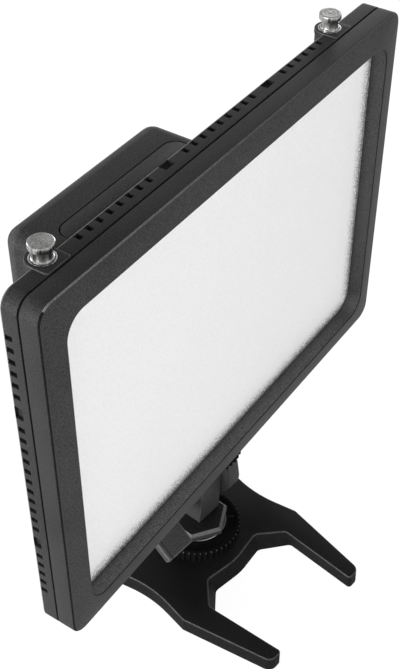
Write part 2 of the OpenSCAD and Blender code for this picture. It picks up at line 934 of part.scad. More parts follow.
module battery_pack() {
    color([0.25, 0.35, 0.5])
        in_panel()
            translate([cavity_mid_x, panel_d, battery_z])
                rotate([90, 0, 0])
                    translate([0, 0, -battery_t])
                        linear_extrude(battery_t)
                            polygon(box_outline(
                                -battery_w / 2, battery_w / 2, -battery_h / 2, battery_h / 2, 3
                            ));
}

// DC inlet in the housing's right wall, with its centre pin, on a foot that stands on the rear shell
module dc_socket() {
    x1 = cavity_right;
    mouth = housing_x1 - 0.2;
    back_t = 2;
    foot_h = 6;
    color([0.08, 0.08, 0.08])
        in_panel() {
            difference() {
                union() {
                    block(
                        [x1 - jack_l, jack_y - jack_w / 2, jack_z - jack_h / 2],
                        [x1, jack_y + jack_w / 2, jack_z + jack_h / 2]
                    );
                    rod_x(jack_sleeve_d, x1 - cut, mouth, jack_y, jack_z);
                    block(
                        [x1 - jack_l, panel_d, jack_z - foot_h / 2],
                        [x1 - back_t, jack_y, jack_z + foot_h / 2]
                    );
                }
                rod_x(jack_hole_d, x1 - jack_l + back_t, mouth + cut, jack_y, jack_z);
            }
            rod_x(jack_pin_d, x1 - jack_l + back_t / 2, mouth - 2, jack_y, jack_z);
        }
}

// Frame of the power switch, set in the housing's back wall
module switch_body() {
    y0 = housing_back - switch_depth;
    inner_l = switch_l - 2 * switch_wall;
    face = housing_back + switch_flange;
    axle_end = rocker_axle / 2 + run_gap;
    rim_w = switch_w / 2 + switch_rim;
    rim_l = switch_l / 2 + switch_rim;
    color([0.06, 0.06, 0.06])
        in_panel()
            translate([rocker_x, 0, rocker_z])
                difference() {
                    union() {
                        block([-switch_w / 2, y0, -switch_l / 2], [switch_w / 2, face, switch_l / 2]);
                        block([-rim_w, housing_back, -rim_l], [rim_w, face, rim_l]);
                    }
                    block(
                        [-rocker_w / 2 - run_gap, y0 + switch_wall, -inner_l / 2],
                        [rocker_w / 2 + run_gap, face + cut, inner_l / 2]
                    );
                    rod_x(rocker_pivot_d + 2 * shaft_fit, -axle_end, axle_end, rocker_pivot_y, 0);
                }
}

// Rocker with a hollowed face that leans to its off side at rest, on two pivot stubs
module power_rocker() {
    front = housing_back - rocker_pivot_y + rocker_proud;
    half_l = rocker_l / 2;
    foot = 1.6;
    foot_half = 3;
    edge = 1.2;
    dip = 1;
    color([0.05, 0.05, 0.05])
        in_panel()
            translate([rocker_x, rocker_pivot_y, rocker_z])
                rotate([rocker_lean, 0, 0]) {
                    translate([-rocker_w / 2, 0, 0])
                        rotate([90, 0, 90])
                            linear_extrude(rocker_w)
                                polygon([
                                    [-foot, -foot_half],
                                    [front - edge, -half_l],
                                    [front, -half_l],
                                    [front - dip, 0],
                                    [front, half_l],
                                    [front - edge, half_l],
                                    [-foot, foot_half]
                                ]);
                    rod_x(rocker_pivot_d, -rocker_axle / 2, rocker_axle / 2, 0, 0);
                }
}

// Potentiometer behind the housing's back wall
module dimmer_pot() {
    color([0.55, 0.56, 0.58])
        in_panel()
            difference() {
                union() {
                    rod_y(pot_d, knob_x, knob_z, cavity_back - pot_t, cavity_back);
                    rod_y(pot_neck_d, knob_x, knob_z, cavity_back - cut, housing_back);
                }
                rod_y(shaft_d + 2 * shaft_fit, knob_x, knob_z, pot_floor_y, housing_back + cut);
            }
}

module dimmer_shaft() {
    color([0.7, 0.7, 0.72])
        in_panel()
            rod_y(shaft_d, knob_x, knob_z, pot_floor_y + run_gap, knob_face_y - knob_skin - run_gap);
}

// Fluted knob with a pointer groove
module dimmer_knob() {
    flute_d = 1.2;
    step = 1;
    groove = 0.6;
    color([0.06, 0.06, 0.06])
        in_panel()
            difference() {
                union() {
                    rod_y(knob_d - 2 * step, knob_x, knob_z, knob_y, knob_face_y);
                    rod_y(knob_d, knob_x, knob_z, knob_y, knob_face_y - step);
                }
                for (k = [0 : knob_flutes - 1])
                    rotate_about(knob_x, knob_z, 360 * k / knob_flutes)
                        rod_y(
                            flute_d, knob_x + knob_d / 2 + flute_d / 6, knob_z,
                            knob_y + step, knob_face_y + cut
                        );
                rod_y(shaft_d + 2 * shaft_fit, knob_x, knob_z, knob_y - cut, knob_face_y - knob_skin);
                block(
                    [knob_x - groove, knob_face_y - groove, knob_z + knob_d / 5],
                    [knob_x + groove, knob_face_y + cut, knob_z + knob_d]
                );
            }
}

// Turns its children about an axis along Y through x and z
module rotate_about(x, z, angle) {
    translate([x, 0, z])
        rotate([0, angle, 0])
            translate([-x, 0, -z])
                children();
}

// Brass tripod insert in the panel's socket block
module socket_insert() {
    color([0.8, 0.65, 0.3])
        translate([0, 0, panel_z])
            difference() {
                rod_z(insert_d, 0, insert_l);
                rod_z(thread_d + 2 * shaft_fit, -cut, insert_l + cut);
            }
}

// Threaded stud from the fork up into the panel
module head_stud() {
    color([0.6, 0.6, 0.62])
        rod_z(thread_d, arm_top_z - stud_grip, panel_z + stud_reach);
}

module upper_washer() {
    color([0.8, 0.8, 0.82])
        difference() {
            rod_z(washer_d, arm_top_z, arm_top_z + washer_t);
            rod_z(thread_d + 2 * shaft_fit, arm_top_z - cut, arm_top_z + washer_t + cut);
        }
}

// Lock wheel with round-bottomed grip teeth and a dished top
module lock_wheel(bore) {
    tooth_gap_d = tooth_gap_share * PI * wheel_d / wheel_teeth;
    difference() {
        cylinder(d = wheel_d, h = wheel_t);
        translate([0, 0, -cut])
            cylinder(d = bore, h = wheel_t + 2 * cut);
        for (k = [0 : wheel_teeth - 1])
            rotate([0, 0, 360 * k / wheel_teeth])
                translate([wheel_d / 2 + tooth_gap_lift * tooth_gap_d, 0, -cut])
                    cylinder(d = tooth_gap_d, h = wheel_t + 2 * cut, $fn = 16);
    }
}

module upper_wheel() {
    color([0.08, 0.08, 0.08])
        in_mount()
            translate([0, 0, upper_wheel_z])
                lock_wheel(thread_d + 2 * shaft_fit);
}

// Rubber ring stuck on the upper wheel, which grips the panel
module wheel_pad() {
    z0 = upper_wheel_z + wheel_t;
    color([0.04, 0.04, 0.04])
        difference() {
            rod_z(wheel_d - 2 * pad_margin, z0, z0 + pad_t);
            rod_z(thread_d + pad_margin, z0 - cut, z0 + pad_t + cut);
        }
}

// Side view of a hinge half: a round eye about the hinge that narrows to a foot at height foot_z
module hinge_profile(eye_r, foot_z, foot_d, x0, x1) {
    rise = abs(foot_z - hinge_z);
    reach = norm([foot_d / 2, rise]);
    lean = atan(foot_d / 2 / rise) + acos(eye_r / reach);
    up = foot_z > hinge_z ? 1 : -1;
    touch = [eye_r * sin(lean), up * eye_r * cos(lean)];
    rod_x(2 * eye_r, x0, x1, 0, hinge_z);
    translate([x0, 0, hinge_z])
        rotate([90, 0, 90])
            linear_extrude(x1 - x0)
                polygon([
                    [-touch[0], touch[1]],
                    [-foot_d / 2, up * rise],
                    [foot_d / 2, up * rise],
                    [touch[0], touch[1]]
                ]);
}

// Upper hinge half: an ear to the right of the lug, under a bridge that holds the stud
module tilt_arm() {
    color([0.12, 0.12, 0.13])
        in_mount()
            difference() {
                hinge_profile(hinge_r, arm_top_z, bridge_d, -bridge_left, ear_out);
                block([-bridge_left - cut, -2 * hinge_r, hinge_z - 2 * hinge_r], [ear_in, 2 * hinge_r, bridge_z]);
                rod_x(bolt_d + 2 * shaft_fit, ear_in - cut, ear_out + cut, 0, hinge_z);
                translate([ear_out - bolt_head_t - seat_fit, 0, hinge_z])
                    rotate([0, 90, 0])
                        cylinder(d = bolt_head_d + 2 * seat_fit, h = bolt_head_t + cut, $fn = 6);
                rod_z(thread_d + 2 * shaft_fit, arm_top_z - stud_grip, arm_top_z + cut);
            }
}

// Hexagon-head bolt through the ear and the lug, threaded into the lever
module hinge_bolt() {
    head_x = ear_out - bolt_head_t;
    color([0.65, 0.65, 0.67])
        in_mount() {
            rod_x(bolt_d, -bolt_end, head_x + 0.5, 0, hinge_z);
            translate([head_x, 0, hinge_z])
                rotate([0, 90, 0])
                    cylinder(d = bolt_head_d, h = bolt_head_t, $fn = 6);
        }
}

// Wing lever that clamps the hinge: a flat paddle along the hinge axis, on a long round hub
module wing_lever() {
    half_l = lever_l / 2;
    half_t = lever_t / 2;
    chamfer = 1.2;
    color([0.13, 0.13, 0.14])
        in_mount()
            translate([0, 0, hinge_z])
                rotate([lever_angle, 0, 0])
                    difference() {
                        union() {
                            rod_x(lever_hub_d, -lever_nut_end - lever_hub_skin, -lever_start, 0, 0);
                            translate([-lever_end, 0, 0])
                                rotate([90, 0, 90])
                                    linear_extrude(lever_w)
                                        polygon([
                                            [-half_l, -half_t],
                                            [half_l, -half_t],
                                            [half_l, half_t - chamfer],
                                            [half_l - chamfer, half_t],
                                            [chamfer - half_l, half_t],
                                            [-half_l, half_t - chamfer]
                                        ]);
                        }
                        rod_x(lever_nut_d, -lever_nut_end, -lever_nut_start, 0, 0);
                        rod_x(bolt_d + 2 * run_gap, -lever_nut_end, cut - lever_start, 0, 0);
                    }
}

// Brass nut moulded into the lever's hub
module lever_nut() {
    color([0.8, 0.65, 0.3])
        in_mount()
            difference() {
                rod_x(lever_nut_d - 2 * shaft_fit, -lever_nut_end, -lever_nut_start, 0, hinge_z);
                rod_x(bolt_d + 2 * shaft_fit, -lever_nut_end - cut, cut - lever_nut_start, 0, hinge_z);
            }
}

// Hexagonal flange, a corner to the front, whose upper edges are cut back at 45 degrees
module hex_flange() {
    flat = flange_r * cos(30);
    side = flange_chamfer * sqrt(2);
    difference() {
        translate([0, 0, lower_flange_z])
            rotate([0, 0, 90])
                cylinder(r = flange_r, h = flange_h, $fn = 6);
        for (k = [0 : 5])
            rotate([0, 0, 60 * k])
                translate([flat, 0, lower_flange_z + flange_h])
                    rotate([0, 45, 0])
                        cube([side, flange_r * 2, side], center = true);
    }
}

// Lower hinge half: a lug on the hexagonal flange, bored for the tip of the foot's stem
module tilt_base() {
    color([0.1, 0.1, 0.11])
        in_mount()
            difference() {
                union() {
                    hinge_profile(lug_r, lower_flange_z + flange_h, lug_foot_d, -lug_left, lug_right);
                    hex_flange();
                }
                rod_x(bolt_d + 2 * shaft_fit, -lug_left - cut, lug_right + cut, 0, hinge_z);
                rod_z(stem_tip_d + 2 * shaft_fit, lower_flange_z - cut, stem_top_z + run_gap);
                translate([0, 0, groove_z])
                    rotate([-90, 0, 0])
                        cylinder(d = set_screw_d + 2 * shaft_fit, h = flange_r * 2);
            }
}

module flange_washer() {
    color([0.85, 0.85, 0.86])
        difference() {
            rod_z(washer_d, lower_washer_z, lower_flange_z);
            rod_z(stem_d + 2 * run_gap, lower_washer_z - cut, lower_flange_z + cut);
        }
}

// Set screw at the back of the flange, whose tip rides in the stem's groove
module set_screw() {
    tip = groove_d / 2 + run_gap;
    color([0.3, 0.3, 0.32])
        in_mount()
            translate([0, 0, groove_z])
                rotate([-90, 0, 0])
                    translate([0, 0, tip])
                        cylinder(d = set_screw_d, h = flange_r - flange_chamfer - tip);
}

module lower_wheel() {
    color([0.07, 0.07, 0.07])
        in_mount()
            translate([0, 0, lower_wheel_z])
                lock_wheel(stem_d + 2 * shaft_fit);
}

// Accessory-shoe foot with a stem that the wheel and the tilt base turn on
module shoe_foot() {
    foot_z = stand_t + seat_fit;
    color([0.2, 0.2, 0.22])
        in_mount()
            difference() {
                union() {
                    block([-foot_w / 2, -foot_l / 2, foot_z], [foot_w / 2, foot_l / 2, foot_z + foot_t]);
                    rod_z(neck_d, foot_z, shoe_top);
                    rod_z(stem_d, foot_z, lower_flange_z - run_gap);
                    rod_z(stem_tip_d, foot_z, stem_top_z);
                }
                difference() {
                    rod_z(stem_tip_d + cut, groove_z - groove_h / 2, groove_z + groove_h / 2);
                    rod_z(groove_d, groove_z - groove_h, groove_z + groove_h);
                }
            }
}

// Shoe channel let into the stand's top, open at the back, with a stop in front
module shoe_channel() {
    y1 = shoe_front + shoe_l;
    slot_w = foot_w + 2 * run_gap;
    color([0.25, 0.25, 0.27])
        in_mount()
            difference() {
                block([-channel_w / 2, shoe_front, stand_t - shoe_base_t], [channel_w / 2, y1, shoe_top]);
                block(
                    [-slot_w / 2, shoe_front + stop_t, stand_t],
                    [slot_w / 2, y1 + cut, stand_t + slot_h]
                );
                block([-lip_gap / 2, -lip_gap / 2, stand_t], [lip_gap / 2, y1 + cut, shoe_top + cut]);
                at_shoe_screws()
                    rod_z(shoe_screw_d + 2 * shaft_fit, 0, shoe_top);
            }
}

// Places its children at the four screws of the shoe channel
module at_shoe_screws() {
    for (x = [-1, 1])
        for (y = [-1, 1])
            translate([x * shoe_screw_x, y * shoe_screw_y, 0])
                children();
}

module shoe_screws() {
    color([0.5, 0.5, 0.52])
        in_mount()
            at_shoe_screws()
                rod_z(shoe_screw_d, stand_t - shoe_screw_l + run_gap, stand_t - seat_fit);
}

module stand_base() {
    recess_y0 = shoe_front - seat_fit;
    recess_y1 = shoe_front + shoe_l + seat_fit;
    recess_w = channel_w / 2 + seat_fit;
    color([0.07, 0.07, 0.07])
        in_mount()
            difference() {
                linear_extrude(stand_t)
                    polygon(rounded(concat([crotch], with_mirror_image(stand_half))));
                block([-recess_w, recess_y0, stand_t - shoe_base_t], [recess_w, recess_y1, stand_t + cut]);
                rod_z(stand_insert_d + 2 * shaft_fit, -cut, stand_insert_l);
                at_shoe_screws()
                    rod_z(shoe_screw_d + 2 * shaft_fit, stand_t - shoe_screw_l, stand_t + cut);
            }
}

// Brass tripod insert in the stand's underside
module stand_insert() {
    color([0.8, 0.65, 0.3])
        difference() {
            rod_z(stand_insert_d, 0, stand_insert_l);
            rod_z(thread_d + 2 * shaft_fit, -cut, stand_insert_l + cut);
        }
}

front_bezel();
diffuser();
light_guide();
reflector_sheet();
led_strips();
back_tray();
rear_shell();
case_screws();
pin_bushes();
left_pin();
right_pin();
rear_housing();
top_cover();
housing_screws();
driver_board();
battery_pack();
dc_socket();
switch_body();
power_rocker();
dimmer_pot();
dimmer_shaft();
dimmer_knob();
socket_insert();
head_stud();
upper_washer();
upper_wheel();
wheel_pad();
tilt_arm();
hinge_bolt();
wing_lever();
lever_nut();
tilt_base();
flange_washer();
set_screw();
lower_wheel();
shoe_foot();
shoe_channel();
shoe_screws();
stand_base();
stand_insert();
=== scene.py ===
"""Dressed model of a slim LED video light on its tilting mount and fork-shaped table stand.

Lengths are written in millimetres and turned into metres when a piece is made. Materials, the camera,
the floor and the lights use metres.
"""
import math

import bmesh
import bpy
from mathutils import Matrix, Vector


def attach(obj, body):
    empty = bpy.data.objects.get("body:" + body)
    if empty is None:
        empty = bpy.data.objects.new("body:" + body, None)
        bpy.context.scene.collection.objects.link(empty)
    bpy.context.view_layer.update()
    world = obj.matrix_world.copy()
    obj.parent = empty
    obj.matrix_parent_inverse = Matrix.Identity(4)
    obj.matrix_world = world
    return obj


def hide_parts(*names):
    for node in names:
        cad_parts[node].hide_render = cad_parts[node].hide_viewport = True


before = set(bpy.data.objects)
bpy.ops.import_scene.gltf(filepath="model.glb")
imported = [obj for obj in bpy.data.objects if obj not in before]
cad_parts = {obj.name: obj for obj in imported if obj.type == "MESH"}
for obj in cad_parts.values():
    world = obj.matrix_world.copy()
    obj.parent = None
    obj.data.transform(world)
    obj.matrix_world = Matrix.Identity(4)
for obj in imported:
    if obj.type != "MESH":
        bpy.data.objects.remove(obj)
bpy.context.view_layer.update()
scene = bpy.context.scene
MM, MM_PER_M = 0.001, 1000.0
FULL_TURN = 2 * math.pi

# Panel, in its own frame: X and Z from its middle, Y back from the window's rim
PANEL_W, PANEL_H, PANEL_D = 236.0, 167.6, 17.4
HALF_W, HALF_H = PANEL_W / 2, PANEL_H / 2
CORNER_R, WINDOW_R = 6.4, 9.5
BEZEL_MARGIN, BEZEL_BACK = 10.8, 9.62
WALL, CAVITY_Y = 2.2, 15.6
DIFFUSER_Y = 7.4
SCREWS = [(-108.7, 78.5), (18.0, 78.5), (108.7, 78.5),
          (-108.7, -78.5), (-54.0, -78.5), (54.0, -78.5), (108.7, -78.5)]

# Link pins and the half-round bosses that hold them, in the panel's frame
PIN_X, PIN_Y = (-96.2, 85.8), PANEL_D
BOSS_W, BOSS_H, BOSS_TOP, BOSS_SKIRT = 12.3, 24.0, HALF_H + 0.4, 1.6

# Rear housing, its inset cover, controls and inlet, in the panel's frame
HOUSING_X0, HOUSING_X1 = -91.4, -7.7
HOUSING_Y0, HOUSING_Y1 = 17.4, 40.4
HOUSING_Z0, HOUSING_Z1 = -23.8, 82.2
COVER_X, COVER_HALF_W, COVER_T = -48.35, 33.5, 1.6
COVER_Y0, COVER_Y1, COVER_R = 17.6, 25.0, 5.5
KNOB_X, ROCKER_X, CONTROL_Z = -30.725, -68.725, 4.4
JACK_Y, JACK_Z = 26.4, 25.4

# Mount and stand, in their own frame about the upright axis
AXIS_Y, PANEL_FOOT_Z = 25.0, 80.6
HINGE_Z, HINGE_R = 45.6, 12.2
LUG_R, LUG_X0, LUG_X1 = 6.6, -4.0, 10.2
FLANGE_Z, FLANGE_TOP, FLANGE_R = 19.7, 23.7, 15.5
ARM_TOP, BRIDGE_Z = 71.5, 58.3
EAR_IN, EAR_OUT = 10.5, 17.5
WHEEL_R, WHEEL_T, WHEEL_TEETH = 21.2, 6.5, 48
LOWER_WHEEL_Z, UPPER_WHEEL_Z = 11.9, 72.8
STEM_BORE, STUD_BORE = 5.05, 3.3
WASHER_T, WASHER_R, WASHER_BORE = 1.0, 14.3, 5.3
INSERT_R = 5.05
STAND_T = 8.0
HEX = 6

PANEL = Matrix.Translation((0, -AXIS_Y, PANEL_FOOT_Z + HALF_H))
MOUNT = Matrix.Rotation(math.radians(-6.4), 4, "Z")
HINGE = MOUNT @ Matrix.Translation((0, 0, HINGE_Z))
Z_TO_X = Matrix.Rotation(math.pi / 2, 4, "Y")


# Materials

# Noise lies mostly between these values: the wide pair blends softly, the close pair crisply
NOISE_WIDE, NOISE_CLOSE = (0.3, 0.7), (0.36, 0.64)
CLOUD_SCALE, CLOUD_SHARE = 38.0, 0.3
STAIN_SCALE, STAIN_SHARE = 90.0, 0.4

# Grains of moulded plastic: size and depth in millimetres, and strength
# The second of these grains is for the painted highlights on edges
COARSE, HIGHLIGHT_GRAIN, SATIN, FINE = (0.42, 0.05, 0.8), (0.42, 0.03, 0.5), (0.5, 0.03, 0.5), (0.4, 0.02, 0.4)

# Ways that tool lines run in metal: a large factor squeezes them along its axis, a small one draws them out
AROUND, UPRIGHT, EVEN = (1.0, 1.0, 14.0), (1.0, 1.0, 0.08), (1.0, 1.0, 1.0)


def grey(value):
    return (value, value, value)


def new_material(name):
    mat = bpy.data.materials.new(name)
    mat.use_nodes = True
    tree = mat.node_tree
    tree.nodes.clear()
    out = tree.nodes.new("ShaderNodeOutputMaterial")
    bsdf = tree.nodes.new("ShaderNodeBsdfPrincipled")
    tree.links.new(bsdf.outputs[0], out.inputs[0])
    return mat, tree, bsdf


def object_coords(tree):
    return tree.nodes.new("ShaderNodeTexCoord").outputs["Object"]


def object_axes(tree):
    """X, Y and Z of the shaded point, in metres"""
    split = tree.nodes.new("ShaderNodeSeparateXYZ")
    tree.links.new(object_coords(tree), split.inputs[0])
    return split.outputs


def noise(tree, scale, detail=2.0, stretch=None, rough=0.5):
    """Noise in the object's own coordinates; scale is in features per metre"""
    node = tree.nodes.new("ShaderNodeTexNoise")
    node.inputs["Scale"].default_value = scale
    node.inputs["Detail"].default_value = detail
    node.inputs["Roughness"].default_value = rough
    source = object_coords(tree)
    if stretch:
        mapping = tree.nodes.new("ShaderNodeMapping")
        mapping.inputs["Scale"].default_value = stretch
        tree.links.new(source, mapping.inputs["Vector"])
        source = mapping.outputs["Vector"]
    tree.links.new(source, node.inputs["Vector"])
    return node.outputs[0]


def remap(tree, value, low, high, to_low, to_high):
    node = tree.nodes.new("ShaderNodeMapRange")
    for key, number in zip(("From Min", "From Max", "To Min", "To Max"), (low, high, to_low, to_high)):
        node.inputs[key].default_value = number
    tree.links.new(value, node.inputs["Value"])
    return node.outputs[0]


def mix_colour(tree, factor, a, b):
    """Blend of two colours, each a tuple or another node's output"""
    node = tree.nodes.new("ShaderNodeMix")
    node.data_type = "RGBA"
    tree.links.new(factor, node.inputs[0])
    for socket, value in ((node.inputs[6], a), (node.inputs[7], b)):
        if isinstance(value, tuple):
            socket.default_value = (*value, 1.0)
        else:
            tree.links.new(value, socket)
    return node.outputs[2]


def combine(tree, a, b, operation="ADD"):
    """Two values, each a number or another node's output, put through one operation"""
    node = tree.nodes.new("ShaderNodeMath")
    node.operation = operation
    for socket, value in ((node.inputs[0], a), (node.inputs[1], b)):
        if isinstance(value, (int, float)):
            socket.default_value = value
        else:
            tree.links.new(value, socket)
    return node.outputs[0]


def bump(tree, bsdf, height, strength, depth_mm):
    node = tree.nodes.new("ShaderNodeBump")
    node.inputs["Strength"].default_value = strength
    node.inputs["Distance"].default_value = depth_mm * MM
    tree.links.new(height, node.inputs["Height"])
    tree.links.new(node.outputs[0], bsdf.inputs["Normal"])


def plastic(name, dark, light, rough, grain, specular=0.4):
    """Moulded plastic with a spark-eroded grain, cloudy shade and uneven gloss"""
    grain_mm, depth_mm, strength = grain
    mat, tree, bsdf = new_material(name)
    fine = noise(tree, MM_PER_M / grain_mm)
    cloud = remap(tree, noise(tree, CLOUD_SCALE, detail=4.0), *NOISE_WIDE, 0.0, CLOUD_SHARE)
    blend = combine(tree, cloud, remap(tree, fine, *NOISE_CLOSE, 0.0, 1.0 - CLOUD_SHARE))
    gloss = remap(tree, fine, *NOISE_WIDE, rough - 0.07, rough + 0.09)
    shine = remap(tree, fine, *NOISE_CLOSE, 0.5 * specular, 1.5 * specular)
    tree.links.new(mix_colour(tree, blend, dark, light), bsdf.inputs["Base Color"])
    tree.links.new(gloss, bsdf.inputs["Roughness"])
    tree.links.new(shine, bsdf.inputs["Specular IOR Level"])
    bump(tree, bsdf, fine, strength, depth_mm)
    return mat


def fade(mat, start, end, colour):
    """Blends a material's colour into another one from one X to another, in metres"""
    tree = mat.node_tree
    target = tree.nodes["Principled BSDF"].inputs["Base Color"]
    source = target.links[0].from_socket
    along = remap(tree, object_axes(tree)["X"], start, end, 0.0, 1.0)
    tree.links.new(mix_colour(tree, along, source, colour), target)
    return mat


def metal(name, dark, light, rough, stretch=AROUND, lines=(1.2, 0.01, 0.35)):
    """Worked metal with fine tool lines, given as pitch and depth in millimetres, and strength"""
    line_mm, depth_mm, strength = lines
    mat, tree, bsdf = new_material(name)
    tooled = noise(tree, MM_PER_M / line_mm, detail=3.0, stretch=stretch)
    stain = remap(tree, noise(tree, STAIN_SCALE, detail=3.0), *NOISE_WIDE, 0.0, STAIN_SHARE)
    blend = combine(tree, stain, remap(tree, tooled, *NOISE_CLOSE, 0.0, 1.0 - STAIN_SHARE))
    gloss = remap(tree, tooled, *NOISE_WIDE, rough - 0.05, rough + 0.1)
    tree.links.new(mix_colour(tree, blend, dark, light), bsdf.inputs["Base Color"])
    tree.links.new(gloss, bsdf.inputs["Roughness"])
    bsdf.inputs["Metallic"].default_value = 1.0
    bump(tree, bsdf, tooled, strength, depth_mm)
    return mat


def diffuser_material():
    """Frosted white sheet with painted shade: its right and lower edges turn grey in fine dots"""
    right_edge, lower_edge = (0.0985, 0.1065), (0.0995, 0.092)
    grain_scale, cloud_scale, dot_scale = 1100.0, 14.0, 2600.0
    white, bright, shaded = grey(0.8), grey(0.86), grey(0.12)
    mat, tree, bsdf = new_material("frosted_diffuser")
    axes = object_axes(tree)
    # Painted shade: the sheet turns grey towards its right and lower edges, beside the window's walls
    right = remap(tree, axes["X"], *right_edge, 0.0, 1.0)
    lower = remap(tree, axes["Z"], *lower_edge, 0.0, 1.0)
    edge = combine(tree, right, lower, "MAXIMUM")
    grain = noise(tree, grain_scale, detail=3.0, rough=0.7)
    cloud = remap(tree, noise(tree, cloud_scale), *NOISE_WIDE, 0.0, 0.02)
    dots = remap(tree, noise(tree, dot_scale, detail=0.0), 0.34, 0.66, 0.0, 0.95)
    dither = remap(tree, combine(tree, edge, dots, "SUBTRACT"), -0.12, 0.3, 0.0, 1.0)
    shade = combine(tree, combine(tree, edge, dither, "MULTIPLY"), cloud)
    sheet = mix_colour(tree, remap(tree, grain, *NOISE_CLOSE, 0.0, 1.0), white, bright)
    tree.links.new(mix_colour(tree, shade, sheet, shaded), bsdf.inputs["Base Color"])
    tree.links.new(remap(tree, grain, *NOISE_WIDE, 0.5, 0.66), bsdf.inputs["Roughness"])
    bsdf.inputs["Specular IOR Level"].default_value = 0.25
    bump(tree, bsdf, grain, strength=0.25, depth_mm=0.02)
    return mat


def led_material():
    """White-coated strip board with amber phosphor spots at the LED pitch"""
    spot_scale, grain_scale = 55.0, 700.0
    coating, phosphor = (0.85, 0.85, 0.82), (0.85, 0.66, 0.2)
    mat, tree, bsdf = new_material("led_board")
    wave = tree.nodes.new("ShaderNodeTexWave")
    wave.bands_direction = "Z"
    wave.inputs["Scale"].default_value = spot_scale
    tree.links.new(object_coords(tree), wave.inputs["Vector"])
    spots = remap(tree, wave.outputs[1], 0.45, 0.6, 0.0, 1.0)
    gloss = remap(tree, noise(tree, grain_scale), *NOISE_WIDE, 0.3, 0.5)
    tree.links.new(mix_colour(tree, spots, coating, phosphor), bsdf.inputs["Base Color"])
    tree.links.new(gloss, bsdf.inputs["Roughness"])
    return mat


def board_material():
    """Green circuit board with paler copper tracks under its varnish"""
    track_scale, grain_scale = 140.0, 500.0
    mat, tree, bsdf = new_material("circuit_board")
    bricks = tree.nodes.new("ShaderNodeTexBrick")
    bricks.inputs["Scale"].default_value = track_scale
    bricks.inputs["Mortar Size"].default_value = 0.05
    bricks.inputs["Color1"].default_value = (0.02, 0.14, 0.06, 1)
    bricks.inputs["Color2"].default_value = (0.03, 0.17, 0.07, 1)
    bricks.inputs["Mortar"].default_value = (0.08, 0.3, 0.12, 1)
    upright = tree.nodes.new("ShaderNodeMapping")
    upright.inputs["Rotation"].default_value = (math.pi / 2, 0, 0)
    tree.links.new(object_coords(tree), upright.inputs["Vector"])
    tree.links.new(upright.outputs[0], bricks.inputs["Vector"])
    tree.links.new(bricks.outputs["Color"], bsdf.inputs["Base Color"])
    gloss = remap(tree, noise(tree, grain_scale), *NOISE_WIDE, 0.25, 0.45)
    tree.links.new(gloss, bsdf.inputs["Roughness"])
    bump(tree, bsdf, bricks.outputs["Fac"], strength=0.3, depth_mm=0.04)
    return mat


# Name, dark and light colour, roughness, grain and specular level
SHELL = plastic("shell_black", grey(0.014), grey(0.044), 0.6, COARSE, 0.18)
SHELL_WALL = plastic("shell_black_wall", grey(0.014), grey(0.044), 0.5, COARSE, 0.75)
# Near-black painted shade for the bezel's rounded edges
SHELL_SHADE_LINE = plastic("shell_painted_shade_line", grey(0.004), grey(0.008), 0.7, SATIN, 0.05)
# Painted highlight for the socket block's rounded edges
SHELL_EDGE_HIGHLIGHT = plastic("shell_painted_highlight_edge", grey(0.09), grey(0.19), 0.45, HIGHLIGHT_GRAIN, 0.3)
# Painted highlight along the bezel's upper edge, fading darker towards the right
SHELL_RIM_HIGHLIGHT = fade(plastic("shell_painted_highlight_rim", grey(0.08), grey(0.17), 0.45, HIGHLIGHT_GRAIN, 0.25),
                 start=-0.09, end=0.05, colour=grey(0.03))
REAR = plastic("rear_black", grey(0.009), grey(0.029), 0.6, COARSE, 0.1)
# Painted highlight for the rear tray's rounded back edge
REAR_EDGE_HIGHLIGHT = plastic("rear_painted_highlight_edge", (0.07, 0.07, 0.073), (0.12, 0.12, 0.124), 0.45, SATIN, 0.3)
# Painted highlight for the bosses' rounded top edges
BOSS_EDGE_HIGHLIGHT = plastic("boss_painted_highlight_edge", grey(0.02), grey(0.045), 0.5, SATIN, 0.25)
CASE = plastic("housing_black", grey(0.007), grey(0.024), 0.58, COARSE, 0.14)
# Painted highlight for the housing's and cover's rounded edges
CASE_EDGE_HIGHLIGHT = plastic("housing_painted_highlight_edge", grey(0.010), grey(0.032), 0.55, (0.42, 0.05, 0.7), 0.2)
ARM = plastic("mount_black", (0.016, 0.016, 0.0165), (0.028, 0.028, 0.029), 0.55, (0.45, 0.04, 0.7), 0.25)
# Painted highlight for the mount's rounded and bevelled edges
ARM_EDGE_HIGHLIGHT = plastic("mount_painted_highlight_edge", grey(0.04), grey(0.07), 0.45, FINE, 0.28)
# Painted shade: the flange's top face is darker than the rest of the mount
FLANGE_TOP_SHADE = plastic("flange_top_painted_shade", grey(0.004), grey(0.010), 0.6, (0.5, 0.04, 0.6), 0.06)
WHEEL = plastic("wheel_black", grey(0.002), grey(0.005), 0.88, (0.4, 0.03, 0.5), 0.02)
# Painted glints for the wheels' crests and painted highlight for the knob's top chamfer
WHEEL_GLINT = plastic("wheel_painted_glint", grey(0.016), grey(0.034), 0.45, FINE, 0.25)
BASE = plastic("stand_black", grey(0.002), grey(0.009), 0.58, COARSE, 0.06)
# Painted highlight for the stand's rounded upper edge
BASE_EDGE_HIGHLIGHT = plastic("stand_painted_highlight_edge", grey(0.018), grey(0.045), 0.45, (0.5, 0.02, 0.4), 0.2)
CONTROL = plastic("control_black", (0.016, 0.016, 0.017), (0.028, 0.028, 0.029), 0.42, FINE)
GLOSS = plastic("rocker_black", (0.010, 0.010, 0.011), (0.018, 0.018, 0.019), 0.22, (0.6, 0.006, 0.25), 0.5)
MARK = plastic("mark_white", (0.6, 0.6, 0.58), (0.75, 0.75, 0.73), 0.5, (0.5, 0.02, 0.3))
FROSTED = diffuser_material()
# Opaque grey that paints the clear edge as seen in shade
CLEAR_EDGE_PAINTED_SHADE = plastic("clear_edge", grey(0.18), grey(0.4), 0.25, (0.9, 0.02, 0.3), 0.5)
